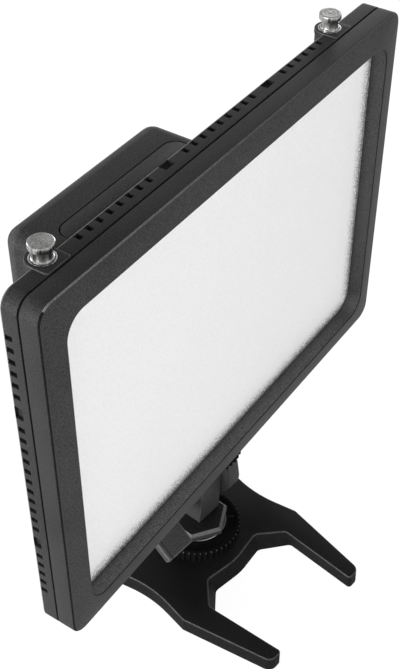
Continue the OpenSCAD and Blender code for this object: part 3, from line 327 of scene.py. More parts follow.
# Near-black for the diffuser's seal, and painted shade in the seams and vent slots
GASKET_AND_SHADE = plastic("gasket_and_shade_black", grey(0.008), grey(0.016), 0.85, (0.35, 0.05, 0.7), 0.2)
RUBBER = plastic("pad_rubber", grey(0.012), grey(0.022), 0.8, (0.7, 0.06, 0.7), 0.25)
GUIDE = plastic("guide_clear", (0.72, 0.78, 0.8), (0.82, 0.86, 0.87), 0.12, (1.5, 0.01, 0.2), 0.5)
SHEET = plastic("reflector_white", grey(0.84), grey(0.92), 0.6, (0.8, 0.02, 0.3))
WRAP = plastic("battery_wrap", (0.03, 0.06, 0.16), (0.05, 0.09, 0.22), 0.3, (2.5, 0.05, 0.4), 0.5)
# Name, dark and light colour, roughness, way and form of the tool lines
NICKEL = metal("bright_nickel", (0.16, 0.159, 0.156), (0.5, 0.495, 0.485), 0.24, UPRIGHT, (0.9, 0.02, 0.4))
# Nickel painted darker as shade, for the neck and the underside of the pin's head
NECK_SHADE = metal("painted_shade_nickel", (0.06, 0.06, 0.059), (0.42, 0.415, 0.41), 0.3, UPRIGHT, (1.1, 0.02, 0.5))
TURNED = metal("turned_nickel", (0.07, 0.07, 0.069), (0.3, 0.297, 0.29), 0.42, EVEN, (0.5, 0.04, 0.7))
WASHER = metal("washer_nickel", grey(0.03), (0.12, 0.119, 0.117), 0.34)
STEEL = metal("machined_steel", (0.5, 0.5, 0.51), (0.62, 0.62, 0.63), 0.28)
DARK_STEEL = metal("blackened_steel", (0.05, 0.05, 0.052), (0.1, 0.1, 0.103), 0.38)
BRASS = metal("machined_brass", (0.62, 0.45, 0.18), (0.78, 0.6, 0.3), 0.24)
ALUMINIUM = metal("rolled_aluminium", (0.66, 0.67, 0.69), (0.76, 0.77, 0.79), 0.34, UPRIGHT)
ANODISED = metal("anodised_aluminium", (0.04, 0.04, 0.042), (0.07, 0.07, 0.073), 0.4)
LEDS = led_material()
BOARD = board_material()


# Outlines and meshes

def corner_arc(a, p, b, steps):
    """Points of the arc that rounds the corner p (x, y, radius) between its neighbours a and b"""
    corner = Vector(p[:2])
    to_a = (Vector(a[:2]) - corner).normalized()
    to_b = (Vector(b[:2]) - corner).normalized()
    half = math.acos(max(-1.0, min(1.0, to_a.dot(to_b)))) / 2
    centre = corner + (to_a + to_b).normalized() * (p[2] / math.sin(half))
    start = corner + to_a * (p[2] / math.tan(half)) - centre
    side = 1 if to_a.x * to_b.y - to_a.y * to_b.x > 0 else -1
    sweep = -side * (math.pi - 2 * half)
    points = []
    for i in range(steps + 1):
        t = sweep * i / steps
        points.append((centre.x + start.x * math.cos(t) - start.y * math.sin(t),
                       centre.y + start.x * math.sin(t) + start.y * math.cos(t)))
    return points


def outline(corners, steps=8):
    """Points of a closed outline whose corners (x, y, radius) are rounded with arcs"""
    points = []
    n = len(corners)
    for i, p in enumerate(corners):
        if p[2] > 0:
            points += corner_arc(corners[i - 1], p, corners[(i + 1) % n], steps)
        else:
            points.append((p[0], p[1]))
    return points


def round_rect(x0, x1, y0, y1, r, steps=8):
    return outline([(x0, y0, r), (x1, y0, r), (x1, y1, r), (x0, y1, r)], steps)


def circle(r, steps, x=0.0, y=0.0):
    return [(x + r * math.cos(FULL_TURN * i / steps), y + r * math.sin(FULL_TURN * i / steps))
            for i in range(steps)]


def ring(bm, points):
    return [bm.verts.new(p) for p in points]


def skin(bm, rings, mats=None, wrap=False):
    """Joins rings of equal length with quads; mats gives a material number per band"""
    pairs = list(zip(rings, rings[1:]))
    if wrap:
        pairs.append((rings[-1], rings[0]))
    for k, (a, b) in enumerate(pairs):
        for i in range(len(a)):
            j = (i + 1) % len(a)
            face = bm.faces.new((a[i], a[j], b[j], b[i]))
            if mats:
                face.material_index = mats[k]


def prism(bm, points, low, high, plane="XY"):
    """Extrudes an outline between two levels along the axis that plane leaves out"""
    def place(p, level):
        if plane == "XY":
            return (p[0], p[1], level)
        if plane == "XZ":
            return (p[0], level, p[1])
        return (level, p[0], p[1])
    a = ring(bm, [place(p, low) for p in points])
    b = ring(bm, [place(p, high) for p in points])
    skin(bm, [a, b])
    bm.faces.new(a)
    bm.faces.new(b)


def box(bm, low, high):
    corners = [(low[0], low[1]), (high[0], low[1]), (high[0], high[1]), (low[0], high[1])]
    prism(bm, corners, low[2], high[2])


def lathe(bm, profile, steps=64, mats=None, closed=False):
    """Turns a profile of (radius, height) about Z; a radius of 0 closes an end"""
    rings = []
    for r, z in profile:
        if r <= 0:
            rings.append(bm.verts.new((0, 0, z)))
        else:
            rings.append(ring(bm, [(x, y, z) for x, y in circle(r, steps)]))
    pairs = list(zip(rings, rings[1:]))
    if closed:
        pairs.append((rings[-1], rings[0]))
    for k, (a, b) in enumerate(pairs):
        for i in range(steps):
            j = (i + 1) % steps
            if isinstance(a, bmesh.types.BMVert):
                face = bm.faces.new((a, b[j], b[i]))
            elif isinstance(b, bmesh.types.BMVert):
                face = bm.faces.new((a[i], a[j], b))
            else:
                face = bm.faces.new((a[i], a[j], b[j], b[i]))
            if mats:
                face.material_index = mats[k]


def rod(bm, r, low, high, steps=48):
    """Plain cylinder about Z, used to cut round holes"""
    lathe(bm, [(0, low), (r, low), (r, high), (0, high)], steps)


def soften(bm, width, segments=2, angle=28, mat=-1, keep=None):
    """Rounds every edge sharper than angle, in degrees; keep can refuse an edge"""
    bmesh.ops.recalc_face_normals(bm, faces=bm.faces)
    limit = math.radians(angle)
    edges = [e for e in bm.edges
             if len(e.link_faces) == 2 and e.calc_face_angle(0) > limit and (keep is None or keep(e))]
    bmesh.ops.bevel(bm, geom=edges, offset=width, segments=segments, profile=0.5, affect="EDGES",
                    clamp_overlap=True, material=mat)


def mesh_of(bm, name):
    bmesh.ops.recalc_face_normals(bm, faces=bm.faces)
    mesh = bpy.data.meshes.new(name)
    bm.to_mesh(mesh)
    bm.free()
    return mesh


def absorb(bm, part, place=None):
    """Adds another mesh to bm, moved into place"""
    if place is not None:
        part.transform(place)
    mesh = mesh_of(part, "part")
    bm.from_mesh(mesh)
    bpy.data.meshes.remove(mesh)


def carve(bm, cutters):
    """Takes the cutters' meshes out of bm and returns the result"""
    whole = bpy.data.objects.new("carve", mesh_of(bm, "carve"))
    tool = bpy.data.objects.new("cutter", mesh_of(cutters, "cutter"))
    for o in (whole, tool):
        scene.collection.objects.link(o)
    mod = whole.modifiers.new("cut", "BOOLEAN")
    mod.object = tool
    mod.operation = "DIFFERENCE"
    mod.solver = "EXACT"
    mod.use_self = True
    deps = bpy.context.evaluated_depsgraph_get()
    result = bpy.data.meshes.new_from_object(whole.evaluated_get(deps))
    for o in (whole, tool):
        data = o.data
        bpy.data.objects.remove(o)
        bpy.data.meshes.remove(data)
    out = bmesh.new()
    out.from_mesh(result)
    bpy.data.meshes.remove(result)
    return out


def piece(name, bm, body, mats, nodes=(), place=None, sharp=32):
    """Makes a piece from a mesh in millimetres, which rides on a body and stands for its nodes"""
    if place is not None:
        bm.transform(place)
    mesh = mesh_of(bm, name)
    mesh.transform(Matrix.Scale(MM, 4))
    for mat in mats:
        mesh.materials.append(mat)
    mesh.polygons.foreach_set("use_smooth", [True] * len(mesh.polygons))
    mesh.set_sharp_from_angle(angle=math.radians(sharp))
    obj = bpy.data.objects.new(name, mesh)
    scene.collection.objects.link(obj)
    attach(obj, body)
    if nodes:
        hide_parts(*nodes)


# Front bezel and diffuser: profiles carried round the rounded frame

def frame_ring(bm, inset, y, r=None):
    """Ring at an inset from the panel's edge; its corners grow from the panel's to the window's"""
    smallest_r, steps = 0.4, 10
    if r is None:
        r = CORNER_R + (WINDOW_R - CORNER_R) * inset / BEZEL_MARGIN
    half_w, half_h = HALF_W - inset, HALF_H - inset
    points = round_rect(-half_w, half_w, -half_h, half_h, max(r, smallest_r), steps)
    return ring(bm, [(x, y, z) for x, z in points])


def make_bezel():
    """Sloping front with painted shade as a dark line along its rounded edges, and a painted highlight as a
    light rim along the upper one
    """
    front, line, seam_shade, rim, wall, side = range(6)
    seat_inset, rim_reach = 9.0, 1.6
    # The bezel's back faces that show in the seam are painted near-black as shade
    profile = [(1.5, BEZEL_BACK, seam_shade), (0.2, 9.6, side), (0.05, 9.52, side), (0.0, 9.35, side),
               (0.0, 2.5, side), (0.08, 2.1, line), (0.28, 1.76, line), (0.58, 1.56, front),
               (0.95, 1.46, front), (10.2, 0.14, front), (10.5, 0.13, front), (10.7, 0.24, line),
               (BEZEL_MARGIN, 0.5, wall), (BEZEL_MARGIN, DIFFUSER_Y, front), (seat_inset, DIFFUSER_Y, front),
               (seat_inset, 3.4, front), (WALL, 3.6, front), (WALL, BEZEL_BACK, seam_shade)]
    bm = bmesh.new()
    rings = [frame_ring(bm, inset, y) for inset, y, band in profile]
    skin(bm, rings, [band for inset, y, band in profile], wrap=True)
    for face in bm.faces:
        # Along the top edge, the dark line's faces take the painted highlight instead
        if face.material_index == line and face.calc_center_median().z > HALF_H - rim_reach:
            face.material_index = rim
    mats = [SHELL, SHELL_SHADE_LINE, GASKET_AND_SHADE, SHELL_RIM_HIGHLIGHT, SHELL_WALL, REAR]
    piece("bezel_frame", bm, "light_head", mats, ["front_bezel"], PANEL)


def make_diffuser():
    """White sheet, the clear edge that shows round it in painted grey, and the black seal behind them, whose
    black also stands for the shade in the gap
    """
    front, back = DIFFUSER_Y + 0.12, 8.18
    inset, sheet_r, bevel = BEZEL_MARGIN + 0.95, 6.8, 0.12
    rim_inset, rim_r = inset + 0.15, 6.7
    bm = bmesh.new()
    rings = [frame_ring(bm, inset, back, sheet_r), frame_ring(bm, inset, front + bevel, sheet_r),
             frame_ring(bm, rim_inset, front, rim_r)]
    skin(bm, rings)
    bm.faces.new(rings[0])
    bm.faces.new(rings[-1])
    piece("diffuser_sheet", bm, "light_head", [FROSTED], ["diffuser"], PANEL)

    # The clear edge round the sheet is painted an opaque grey as shade
    outer, inner, edge_r, edge_t = BEZEL_MARGIN - 1.6, BEZEL_MARGIN + 0.45, 8.3, 0.6
    strip = [(outer, front + edge_t), (outer, front), (BEZEL_MARGIN + 0.35, front), (inner, front + 0.1),
             (inner, front + edge_t)]
    bm = bmesh.new()
    skin(bm, [frame_ring(bm, i, y, edge_r - (i - BEZEL_MARGIN)) for i, y in strip], wrap=True)
    piece("diffuser_clear_edge", bm, "light_head", [CLEAR_EDGE_PAINTED_SHADE], place=PANEL)

    # Black seal under the gap round the sheet; its black also stands for the shade in that gap
    outer, inner, gasket_r = 9.3, BEZEL_MARGIN + 2.4, 7.0
    near, far = front + 0.62, front + 0.68
    seat = [(outer, far), (outer, near), (inner, near), (inner, far)]
    bm = bmesh.new()
    skin(bm, [frame_ring(bm, i, y, gasket_r) for i, y in seat], wrap=True)
    piece("diffuser_gasket", bm, "light_head", [GASKET_AND_SHADE], place=PANEL)


# Rear shell: a moulded tray with vent slots, notches and screw wells

def vent_cutters(bm, mat):
    """Slots through the tray's edges and square notches let into them"""
    slot_w, slot_y0, slot_y1, slot_depth = 2.2, 13.5, 16.6, WALL + 1.2
    notch_w, notch_y0, notch_y1, notch_depth = 5.6, 13.4, 17.1, 1.5
    beyond = 1

    def cut(at, w, y0, y1, depth, side):
        if side in ("top", "bottom"):
            z0 = HALF_H - depth if side == "top" else -HALF_H - beyond
            box(bm, (at - w / 2, y0, z0), (at + w / 2, y1, z0 + depth + beyond))
        else:
            x0 = HALF_W - depth if side == "right" else -HALF_W - beyond
            box(bm, (x0, y0, at - w / 2), (x0 + depth + beyond, y1, at + w / 2))

    def row(side, places, runs, notches):
        for a, b in runs:
            for k in range(a, b):
                cut(places(k), slot_w, slot_y0, slot_y1, slot_depth, side)
        for k in notches:
            cut(places(k), notch_w, notch_y0, notch_y1, notch_depth, side)

    first_x, pitch_x = 37.0 - HALF_W, 5.5
    first_z, pitch_z = HALF_H - 151.0, 5.2
    row("top", lambda k: first_x + pitch_x * k, ((0, 8), (11, 20), (23, 29)), (9, 21))
    row("bottom", lambda k: first_x + pitch_x * k, ((0, 8), (23, 29)), (9, 21))
    for side in ("left", "right"):
        row(side, lambda k: -(first_z + pitch_z * k), ((0, 6), (8, 19), (21, 26)), (6.5, 19.5))
    # Slot and notch walls take the near-black material, as painted shade inside them
    for face in bm.faces:
        face.material_index = mat


def make_rear_shell():
    """Tray behind the bezel, with painted shade in the seam between them and a painted highlight along its
    back edge
    """
    # The dark bands are the seam groove and the tray's inner wall, painted near-black as shade
    shell, edge, dark = range(3)
    seam_y, seam_inset = 9.78, 1.5
    profile = [(WALL, CAVITY_Y), (WALL, seam_y), (seam_inset, seam_y), (seam_inset, 10.32), (0.15, 10.34),
               (0.04, 10.42), (0.0, 10.6), (0.0, 16.6), (0.08, 16.95), (0.3, 17.22), (0.7, PANEL_D)]
    bm = bmesh.new()
    rings = [frame_ring(bm, i, y, CORNER_R - i) for i, y in profile]
    skin(bm, rings, [dark] * 4 + [shell] * 3 + [edge] * 3)
    bm.faces.new(rings[0]).material_index = dark
    bm.faces.new(rings[-1])
    cutters = bmesh.new()
    vent_cutters(cutters, dark)
    well, well_r, well_floor = 2.5, 2.45, CAVITY_Y + 0.1
    for x, z in SCREWS:
        hole = round_rect(x - well, x + well, z - well, z + well, well_r, 5)
        prism(cutters, hole, well_floor, PANEL_D + 1, "XZ")
    bm = carve(bm, cutters)
    piece("rear_tray", bm, "light_head", [REAR, REAR_EDGE_HIGHLIGHT, GASKET_AND_SHADE], ["rear_shell"], PANEL)


def make_pin_boss(name, x):
    """Raised strip over the panel's edge that runs into a half-round boss behind it"""
    n, r, hole_r = 48, BOSS_W / 2, 4.9
    strip_y, endless = 10.4, 1e9
    foot_z, edge_r = HALF_H - BOSS_SKIRT, 0.35
    root, root_top, arc_steps = 0.6, HALF_H - 1.2, 24

    def outer(inset):
        points = []
        for i in range(n):
            t = FULL_TURN * i / n
            c, s = math.cos(t), math.sin(t)
            reach = r - inset
            if s < 0:
                reach = (r - inset) / abs(c) if abs(c) > 1 / endless else endless
                reach = min(reach, (PIN_Y - strip_y - inset) / -s)
            points.append((x + reach * c, PIN_Y + reach * s))
        return points

    bm = bmesh.new()
    levels = [(0.0, foot_z), (0.0, BOSS_TOP - edge_r), (0.12, BOSS_TOP - 0.1), (edge_r, BOSS_TOP)]
    rings = [ring(bm, [(px, py, z) for px, py in outer(inset)]) for inset, z in levels]
    for z in (BOSS_TOP, foot_z):
        rings.append(ring(bm, [(px, py, z) for px, py in circle(hole_r, n, x, PIN_Y)]))
    # The top edge's rounding takes the painted highlight
    skin(bm, rings, [0, 1, 1, 0, 0, 0], wrap=True)
    half = []
    for i in range(arc_steps + 1):
        t = math.pi * i / arc_steps
        y = PIN_Y - root + (r + root * (1 - abs(math.cos(t)))) * math.sin(t)
        half.append((x + r * math.cos(t), min(y, PIN_Y + r)))
    prism(bm, half, HALF_H - BOSS_H, root_top)
    piece(name, bm, "light_head", [REAR, BOSS_EDGE_HIGHLIGHT], place=PANEL)


def make_socket_block():
    """Block behind the panel's lower edge that takes the mount's stud"""
    half_w, front, back, corner, height, bore_depth = 20, 17.0, 36.5, 5, 34, 11
    bm = bmesh.new()
    points = outline([(-half_w, front, 0), (half_w, front, 0),
                      (half_w, back, corner), (-half_w, back, corner)])
    prism(bm, points, -HALF_H, -HALF_H + height)
    # The rounded edges take the painted highlight
    soften(bm, 1.6, segments=3, angle=40, mat=1, keep=lambda e: min(v.co.y for v in e.verts) > front + 0.2)
    cutters = bmesh.new()
    rod(cutters, INSERT_R, -1, bore_depth)
    cutters.transform(Matrix.Translation((0, AXIS_Y, -HALF_H)))
    bm = carve(bm, cutters)
    piece("socket_block", bm, "light_head", [REAR, SHELL_EDGE_HIGHLIGHT], place=PANEL)


# Link pins and their bushes

def make_pin(name, x, body, node):
    """Turned pin: flat grooved head, straight neck painted darker as shade under the head, and a foot that
    flares in its bush
    """
    bright, turned, shaded = range(3)
    head = [(0, 6.93, turned), (1.2, 6.95, turned), (1.35, 6.9, turned), (1.5, 6.95, turned),
            (2.5, 6.97, turned), (2.65, 6.92, turned), (2.8, 6.97, turned), (3.9, 7.0, turned),
            (4.3, 6.92, bright), (4.54, 6.7, bright), (4.6, 6.4, bright), (4.6, 4.95, bright),
            (4.52, 4.68, bright), (4.25, 4.5, shaded), (3.75, 4.4, shaded), (3.5, 4.2, shaded),
            (3.38, 3.8, shaded), (3.34, 2.6, shaded), (3.38, 1.6, shaded), (3.5, 1.0, shaded),
            (3.8, 0.7, bright), (3.95, 0.6, bright), (4.0, 0.4, shaded)]
    shank = [(4.0, -2.5), (2.0, -2.6), (2.0, -13.3), (2.6, -13.3), (2.7, -13.4), (2.7, -14.8), (2.0, -14.9),
             (2.0, -16.6), (1.7, -16.9), (0, -16.9)]
    bands = [band for r, z, band in head] + [bright] * (len(shank) - 1)
    bm = bmesh.new()
    lathe(bm, [(r, z) for r, z, band in head] + shank, 64, bands)
    place = PANEL @ Matrix.Translation((x, PIN_Y, HALF_H))
    piece(name, bm, body, [NICKEL, TURNED, NECK_SHADE], [node], place)


def make_bushes():
    inner_r, outer_r, foot = 4.2, 4.8, -6.9
    profile = [(inner_r, foot), (inner_r, 0.3), (4.3, 0.45), (4.6, 0.46), (4.75, 0.4), (outer_r, 0.25),
               (outer_r, foot)]
    bm = bmesh.new()
    for x in PIN_X:
        bush = bmesh.new()
        lathe(bush, profile, 56, closed=True)
        absorb(bm, bush, Matrix.Translation((x, PIN_Y, HALF_H)))
    piece("pin_bush_rings", bm, "light_head", [NICKEL], ["pin_bushes"], PANEL)


# Rear housing with its inset cover and controls

def cover_outline(grow):
    x0, x1 = COVER_X - COVER_HALF_W - grow, COVER_X + COVER_HALF_W + grow
    y0, y1 = COVER_Y0 - grow, COVER_Y1 + grow
    return outline([(x0, y0, 0), (x1, y0, 0), (x1, y1, COVER_R), (x0, y1, COVER_R)])


def make_housing():
    """Box with round back edges and round corners, open to the boss, cover, rocker and inlet"""
    r, smallest_r, steps, edge_bands = 6.0, 0.2, 8, 3
    bm = bmesh.new()
    rings = []
    for k in range(steps + 1):
        t = math.pi / 2 * k / steps
        inset, y = r * (1 - math.cos(t)), HOUSING_Y1 - r + r * math.sin(t)
        points = round_rect(HOUSING_X0 + inset, HOUSING_X1 - inset, HOUSING_Z0 + inset, HOUSING_Z1 - inset,
                            max(r - inset, smallest_r))
        rings.append(ring(bm, [(px, y, pz) for px, pz in points]))
    front = ring(bm, [(v.co.x, HOUSING_Y0, v.co.z) for v in rings[0]])
    # The first bands of the back rounding take the painted highlight
    skin(bm, [front] + rings, [0] + [1] * edge_bands + [0] * (steps - edge_bands))
    bm.faces.new(front)
    bm.faces.new(rings[-1])

    boss_r, boss_low, boss_high = 6.45, 59.5, 90
    cover_gap, rocker_half_w, rocker_half_h, rocker_depth = 0.4, 6.9, 10.3, 3
    inlet_r, inlet_depth, beyond = 3.7, 4, 1
    cutters = bmesh.new()
    rod(cutters, boss_r, boss_low, boss_high, 64)
    cutters.transform(Matrix.Translation((PIN_X[0], PIN_Y, 0)))
    prism(cutters, cover_outline(cover_gap), HOUSING_Z1 - COVER_T, HOUSING_Z1 + beyond)
    box(cutters, (ROCKER_X - rocker_half_w, HOUSING_Y1 - rocker_depth, CONTROL_Z - rocker_half_h),
        (ROCKER_X + rocker_half_w, HOUSING_Y1 + beyond, CONTROL_Z + rocker_half_h))
    inlet = bmesh.new()
    rod(inlet, inlet_r, -inlet_depth, beyond, 40)
    absorb(cutters, inlet, Matrix.Translation((HOUSING_X1, JACK_Y, JACK_Z)) @ Z_TO_X)
    bm = carve(bm, cutters)
    piece("housing_case", bm, "light_head", [CASE, CASE_EDGE_HIGHLIGHT], ["rear_housing"], PANEL,
          sharp=24)


def make_cover():
    bm = bmesh.new()
    prism(bm, cover_outline(0), HOUSING_Z1 - COVER_T, HOUSING_Z1)
    # Its rounded edges take the painted highlight
    soften(bm, 0.3, angle=40, mat=1)
    piece("housing_cover", bm, "light_head", [CASE, CASE_EDGE_HIGHLIGHT], ["top_cover"], PANEL)


def make_switch():
    """Frame round the rocker; each level is a half width, half height, corner and height off the housing"""
    levels = [(7.8, 12.2, 1.2, 0.0), (7.8, 12.2, 1.2, 0.8), (7.3, 11.7, 0.9, 1.2),
              (5.1, 8.5, 0.4, 1.2), (4.8, 8.2, 0.4, 0.9), (4.8, 8.2, 0.4, -9.0)]
    bm = bmesh.new()
    rings = []
    for w, h, r, rise in levels:
        points = round_rect(-w, w, -h, h, r, 5)
        rings.append(ring(bm, [(ROCKER_X + px, HOUSING_Y1 + rise, CONTROL_Z + pz) for px, pz in points]))
    skin(bm, rings)
    bm.faces.new(rings[-1])
    piece("switch_frame", bm, "light_head", [CONTROL], ["switch_body"], PANEL)


def make_rocker():
    """Button with a dished face, tipped to its off side"""
    half_w, half_h, crown, dish = 4.5, 7.0, 5.2, 1.0
    shoulder, root, root_half = 4.0, -1.6, 3.0
    lean, pivot_depth = 8, 3
    heights = (-half_h, -5.6, -4.2, -2.8, -1.4, 0, 1.4, 2.8, 4.2, 5.6, half_h)
    face = [(crown - dish * (1 - (t / half_h) ** 2), t) for t in heights]
    points = [(root, -root_half), (shoulder, -half_h)] + face + [(shoulder, half_h), (root, root_half)]
    bm = bmesh.new()
    prism(bm, points, -half_w, half_w, "YZ")
    soften(bm, 0.35, angle=25)
    pivot = Matrix.Translation((ROCKER_X, HOUSING_Y1 - pivot_depth, CONTROL_Z))
    place = PANEL @ pivot @ Matrix.Rotation(math.radians(lean), 4, "X")
    piece("rocker_button", bm, "rocker", [GLOSS], ["power_rocker"], place)


def make_knob():
    """Fluted dimmer knob with its pointer, and the plain scale on the housing round it"""
    n, flutes, flute_depth, run_gap = 180, 18, 0.45, 0.5
    profile = [(4.0, 0, 0.0), (8.6, 0.3, 0.0), (9.0, 1.0, 0.4), (9.0, 1.0, 7.6), (8.5, 0.8, 8.3),
               (7.9, 0.3, 8.85), (7.2, 0, 9.0), (6.9, 0, 8.8), (0.001, 0, 8.7)]
    bm = bmesh.new()
    rings = []
    for r, share, height in profile:
        points = []
        for i in range(n):
            t = FULL_TURN * i / n
            dip = max(0.0, math.cos(flutes * t)) ** 3 * flute_depth * share
            points.append(((r - dip) * math.cos(t), height, (r - dip) * math.sin(t)))
        rings.append(ring(bm, points))
    # The top chamfer bands take the painted highlight
    skin(bm, rings, [0, 0, 0, 1, 1, 0, 0, 0])
    place = PANEL @ Matrix.Translation((KNOB_X, HOUSING_Y1 + run_gap, CONTROL_Z))
    piece("knob_cap", bm, "dimmer", [CONTROL, WHEEL_GLINT], ["dimmer_knob"], place)

    pointer_half, pointer_foot, pointer_top, pointer_start, pointer_end = 0.45, 8.5, 8.95, 3.0, 7.0
    bm = bmesh.new()
    box(bm, (-pointer_half, pointer_foot, pointer_start), (pointer_half, pointer_top, pointer_end))
    soften(bm, 0.12)
    piece("knob_pointer", bm, "dimmer", [MARK], place=place)

    ticks, first, pitch, long_every = 11, -135, 27, 5
    start, short_end, long_end = 11.0, 12.6, 13.6
    half_w, height = 0.35, 0.16
    bm = bmesh.new()
    for k in range(ticks):
        tick = bmesh.new()
        box(tick, (-half_w, 0, start), (half_w, height, short_end if k % long_every else long_end))
        soften(tick, 0.06, segments=1)
        turn = Matrix.Rotation(math.radians(first + pitch * k), 4, "Y")
        absorb(bm, tick, Matrix.Translation((KNOB_X, HOUSING_Y1, CONTROL_Z)) @ turn)
    piece("dimmer_scale", bm, "light_head", [MARK], place=PANEL)


def make_jack():
    """Collar of the inlet and the pin in its middle"""
    inner_r, outer_r, collar_end, pin_r, pin_end = 2.85, 3.55, -10, 1.0, -11
    bm = bmesh.new()
    lathe(bm, [(inner_r, collar_end), (inner_r, -0.5), (3.05, -0.2), (3.35, -0.2), (outer_r, -0.4),
               (outer_r, collar_end)], 40, closed=True)
    lathe(bm, [(0, -1.9), (0.6, -1.95), (pin_r, -2.3), (pin_r, pin_end), (0, pin_end)], 24, [1, 1, 1, 1])
    place = PANEL @ Matrix.Translation((HOUSING_X1, JACK_Y, JACK_Z)) @ Z_TO_X
    piece("dc_socket_mouth", bm, "light_head", [CONTROL, NICKEL], ["dc_socket"], place)


# Tilt mount

def make_wheel(name, body, node, z0, bore, mark_angle=None):
    """Lock wheel whose rim is cut with round grip grooves; only the crests' top chamfer is painted lighter,
    as glints
    """
    per_tooth, groove_depth, groove_half, crest_band = 12, 0.85, 0.36, 4
    web_r, hub_r, web_drop, hub_drop = 18.6, 15.2, 0.35, 0.05
    mark_r0, mark_r1, mark_half, mark_foot, mark_drop = 15.4, 18.2, 0.3, 0.5, 0.1
    n = WHEEL_TEETH * per_tooth
    z1 = z0 + WHEEL_T
    profile = [(bore, 0, z0), (web_r, 0, z0), (20.9, 1, z0), (WHEEL_R, 1, z0 + 0.25), (WHEEL_R, 1, z1 - 0.7),
               (20.75, 0.9, z1 - 0.12), (20.2, 0.6, z1), (18.9, 0, z1), (web_r, 0, z1 - web_drop),
               (hub_r, 0, z1 - web_drop), (14.9, 0, z1 - hub_drop), (bore, 0, z1 - hub_drop)]

    def groove(i):
        off = abs((i % per_tooth) / per_tooth - 0.5) / groove_half
        return math.sqrt(max(0.0, 1 - off * off))

    bm = bmesh.new()
    rings = []
    for r, share, z in profile:
        points = []
        for i in range(n):
            t = FULL_TURN * i / n
            reach = r - share * groove_depth * groove(i)
            points.append((reach * math.cos(t), reach * math.sin(t), z))
        rings.append(ring(bm, points))
    skin(bm, rings, wrap=True)
    bm.faces.ensure_lookup_table()
    # Painted glint: each crest's top chamfer takes the lighter material
    for i in range(n):
        if groove(i) + groove(i + 1) == 0:
            bm.faces[crest_band * n + i].material_index = 1
    if mark_angle is not None:
        mark = bmesh.new()
        box(mark, (mark_r0, -mark_half, z1 - mark_foot), (mark_r1, mark_half, z1 - mark_drop))
        # The mark's rounded edges take the painted glint too
        soften(mark, 0.12, mat=1)
        absorb(bm, mark, Matrix.Rotation(math.radians(mark_angle), 4, "Z"))
    piece(name, bm, body, [WHEEL, WHEEL_GLINT], [node], MOUNT, sharp=40)


def eye_outline(eye_r, foot_z, foot_half, steps=40):
    """Side view of a hinge half: a round eye about the hinge that runs straight to a foot"""
    rise = abs(foot_z - HINGE_Z)
    up = 1 if foot_z > HINGE_Z else -1
    lean = math.atan(foot_half / rise) + math.acos(eye_r / math.hypot(foot_half, rise))
    points = [(-foot_half, foot_z)]
    for i in range(steps + 1):
        t = -lean - (FULL_TURN - 2 * lean) * i / steps
        points.append((eye_r * math.sin(t), HINGE_Z + up * eye_r * math.cos(t)))
    points.append((foot_half, foot_z))
    return points


def make_tilt_base():
    """Hexagonal flange with a bevelled top, and the lug that the hinge bolt goes through"""
    chamfer, bevel, corner_r = 0.25, 1.3, 0.5
    lug_half, lug_sink = 5.0, 0.5
    bm = bmesh.new()

    def hexagon(inset, z):
        reach = FLANGE_R - inset / math.cos(math.pi / HEX)
        angles = [math.radians(60 * k + 30) for k in range(HEX)]
        corners = [(reach * math.cos(t), reach * math.sin(t), corner_r) for t in angles]
        return ring(bm, [(x, y, z) for x, y in outline(corners, 4)])

    rings = [hexagon(chamfer, FLANGE_Z), hexagon(0, FLANGE_Z + chamfer), hexagon(0, FLANGE_TOP - bevel),
             hexagon(bevel, FLANGE_TOP)]
    # The top bevel takes the painted highlight and the top face the painted shade
    skin(bm, rings, [0, 0, 1])
    bm.faces.new(rings[0])
    bm.faces.new(rings[-1]).material_index = 2
    lug = bmesh.new()
    prism(lug, eye_outline(LUG_R, FLANGE_TOP - lug_sink, lug_half), LUG_X0, LUG_X1, "YZ")
    # The lug's upper edges take the painted highlight
    soften(lug, 0.7, segments=3, angle=40, mat=1,
           keep=lambda e: min(v.co.z for v in e.verts) > FLANGE_TOP - 0.4)
    absorb(bm, lug)
    piece("tilt_lug", bm, "pan_base", [ARM, ARM_EDGE_HIGHLIGHT, FLANGE_TOP_SHADE], ["tilt_base"], MOUNT)


def make_arm():
    """Ear to the right of the lug under the bridge that holds the stud"""
    arm_half, room, pocket_r, pocket_depth = 8.5, 20, 5.9, 4.1
    bm = bmesh.new()
    prism(bm, eye_outline(HINGE_R, ARM_TOP, arm_half), -EAR_OUT, EAR_OUT, "YZ")
    # The rounded edges take the painted highlight
    soften(bm, 0.9, segments=3, angle=40, mat=1)
    cutters = bmesh.new()
    box(cutters, (-EAR_OUT - 1, -room, HINGE_Z - room), (EAR_IN, room, BRIDGE_Z))
    prism(cutters, circle(pocket_r, HEX, 0.0, HINGE_Z), EAR_OUT - pocket_depth, EAR_OUT + 1, "YZ")
    bm = carve(bm, cutters)
    piece("tilt_arm_ear", bm, "light_head", [ARM, ARM_EDGE_HIGHLIGHT], ["tilt_arm"], MOUNT)


def make_bolt():
    head_r, head_x0, head_x1 = 5.75, EAR_OUT - 4, EAR_OUT - 0.2
    shaft_r, tip, shaft_end = 3.0, -26.4, 14.0
    bm = bmesh.new()
    prism(bm, circle(head_r, HEX), head_x0, head_x1, "YZ")
    soften(bm, 0.4, angle=40)
    shaft = bmesh.new()
    lathe(shaft, [(0, tip), (2.6, tip), (shaft_r, -26.0), (shaft_r, shaft_end), (0, shaft_end)], 40)
    absorb(bm, shaft, Z_TO_X)
    piece("hinge_bolt_hex", bm, "light_head", [STEEL], ["hinge_bolt"], HINGE)


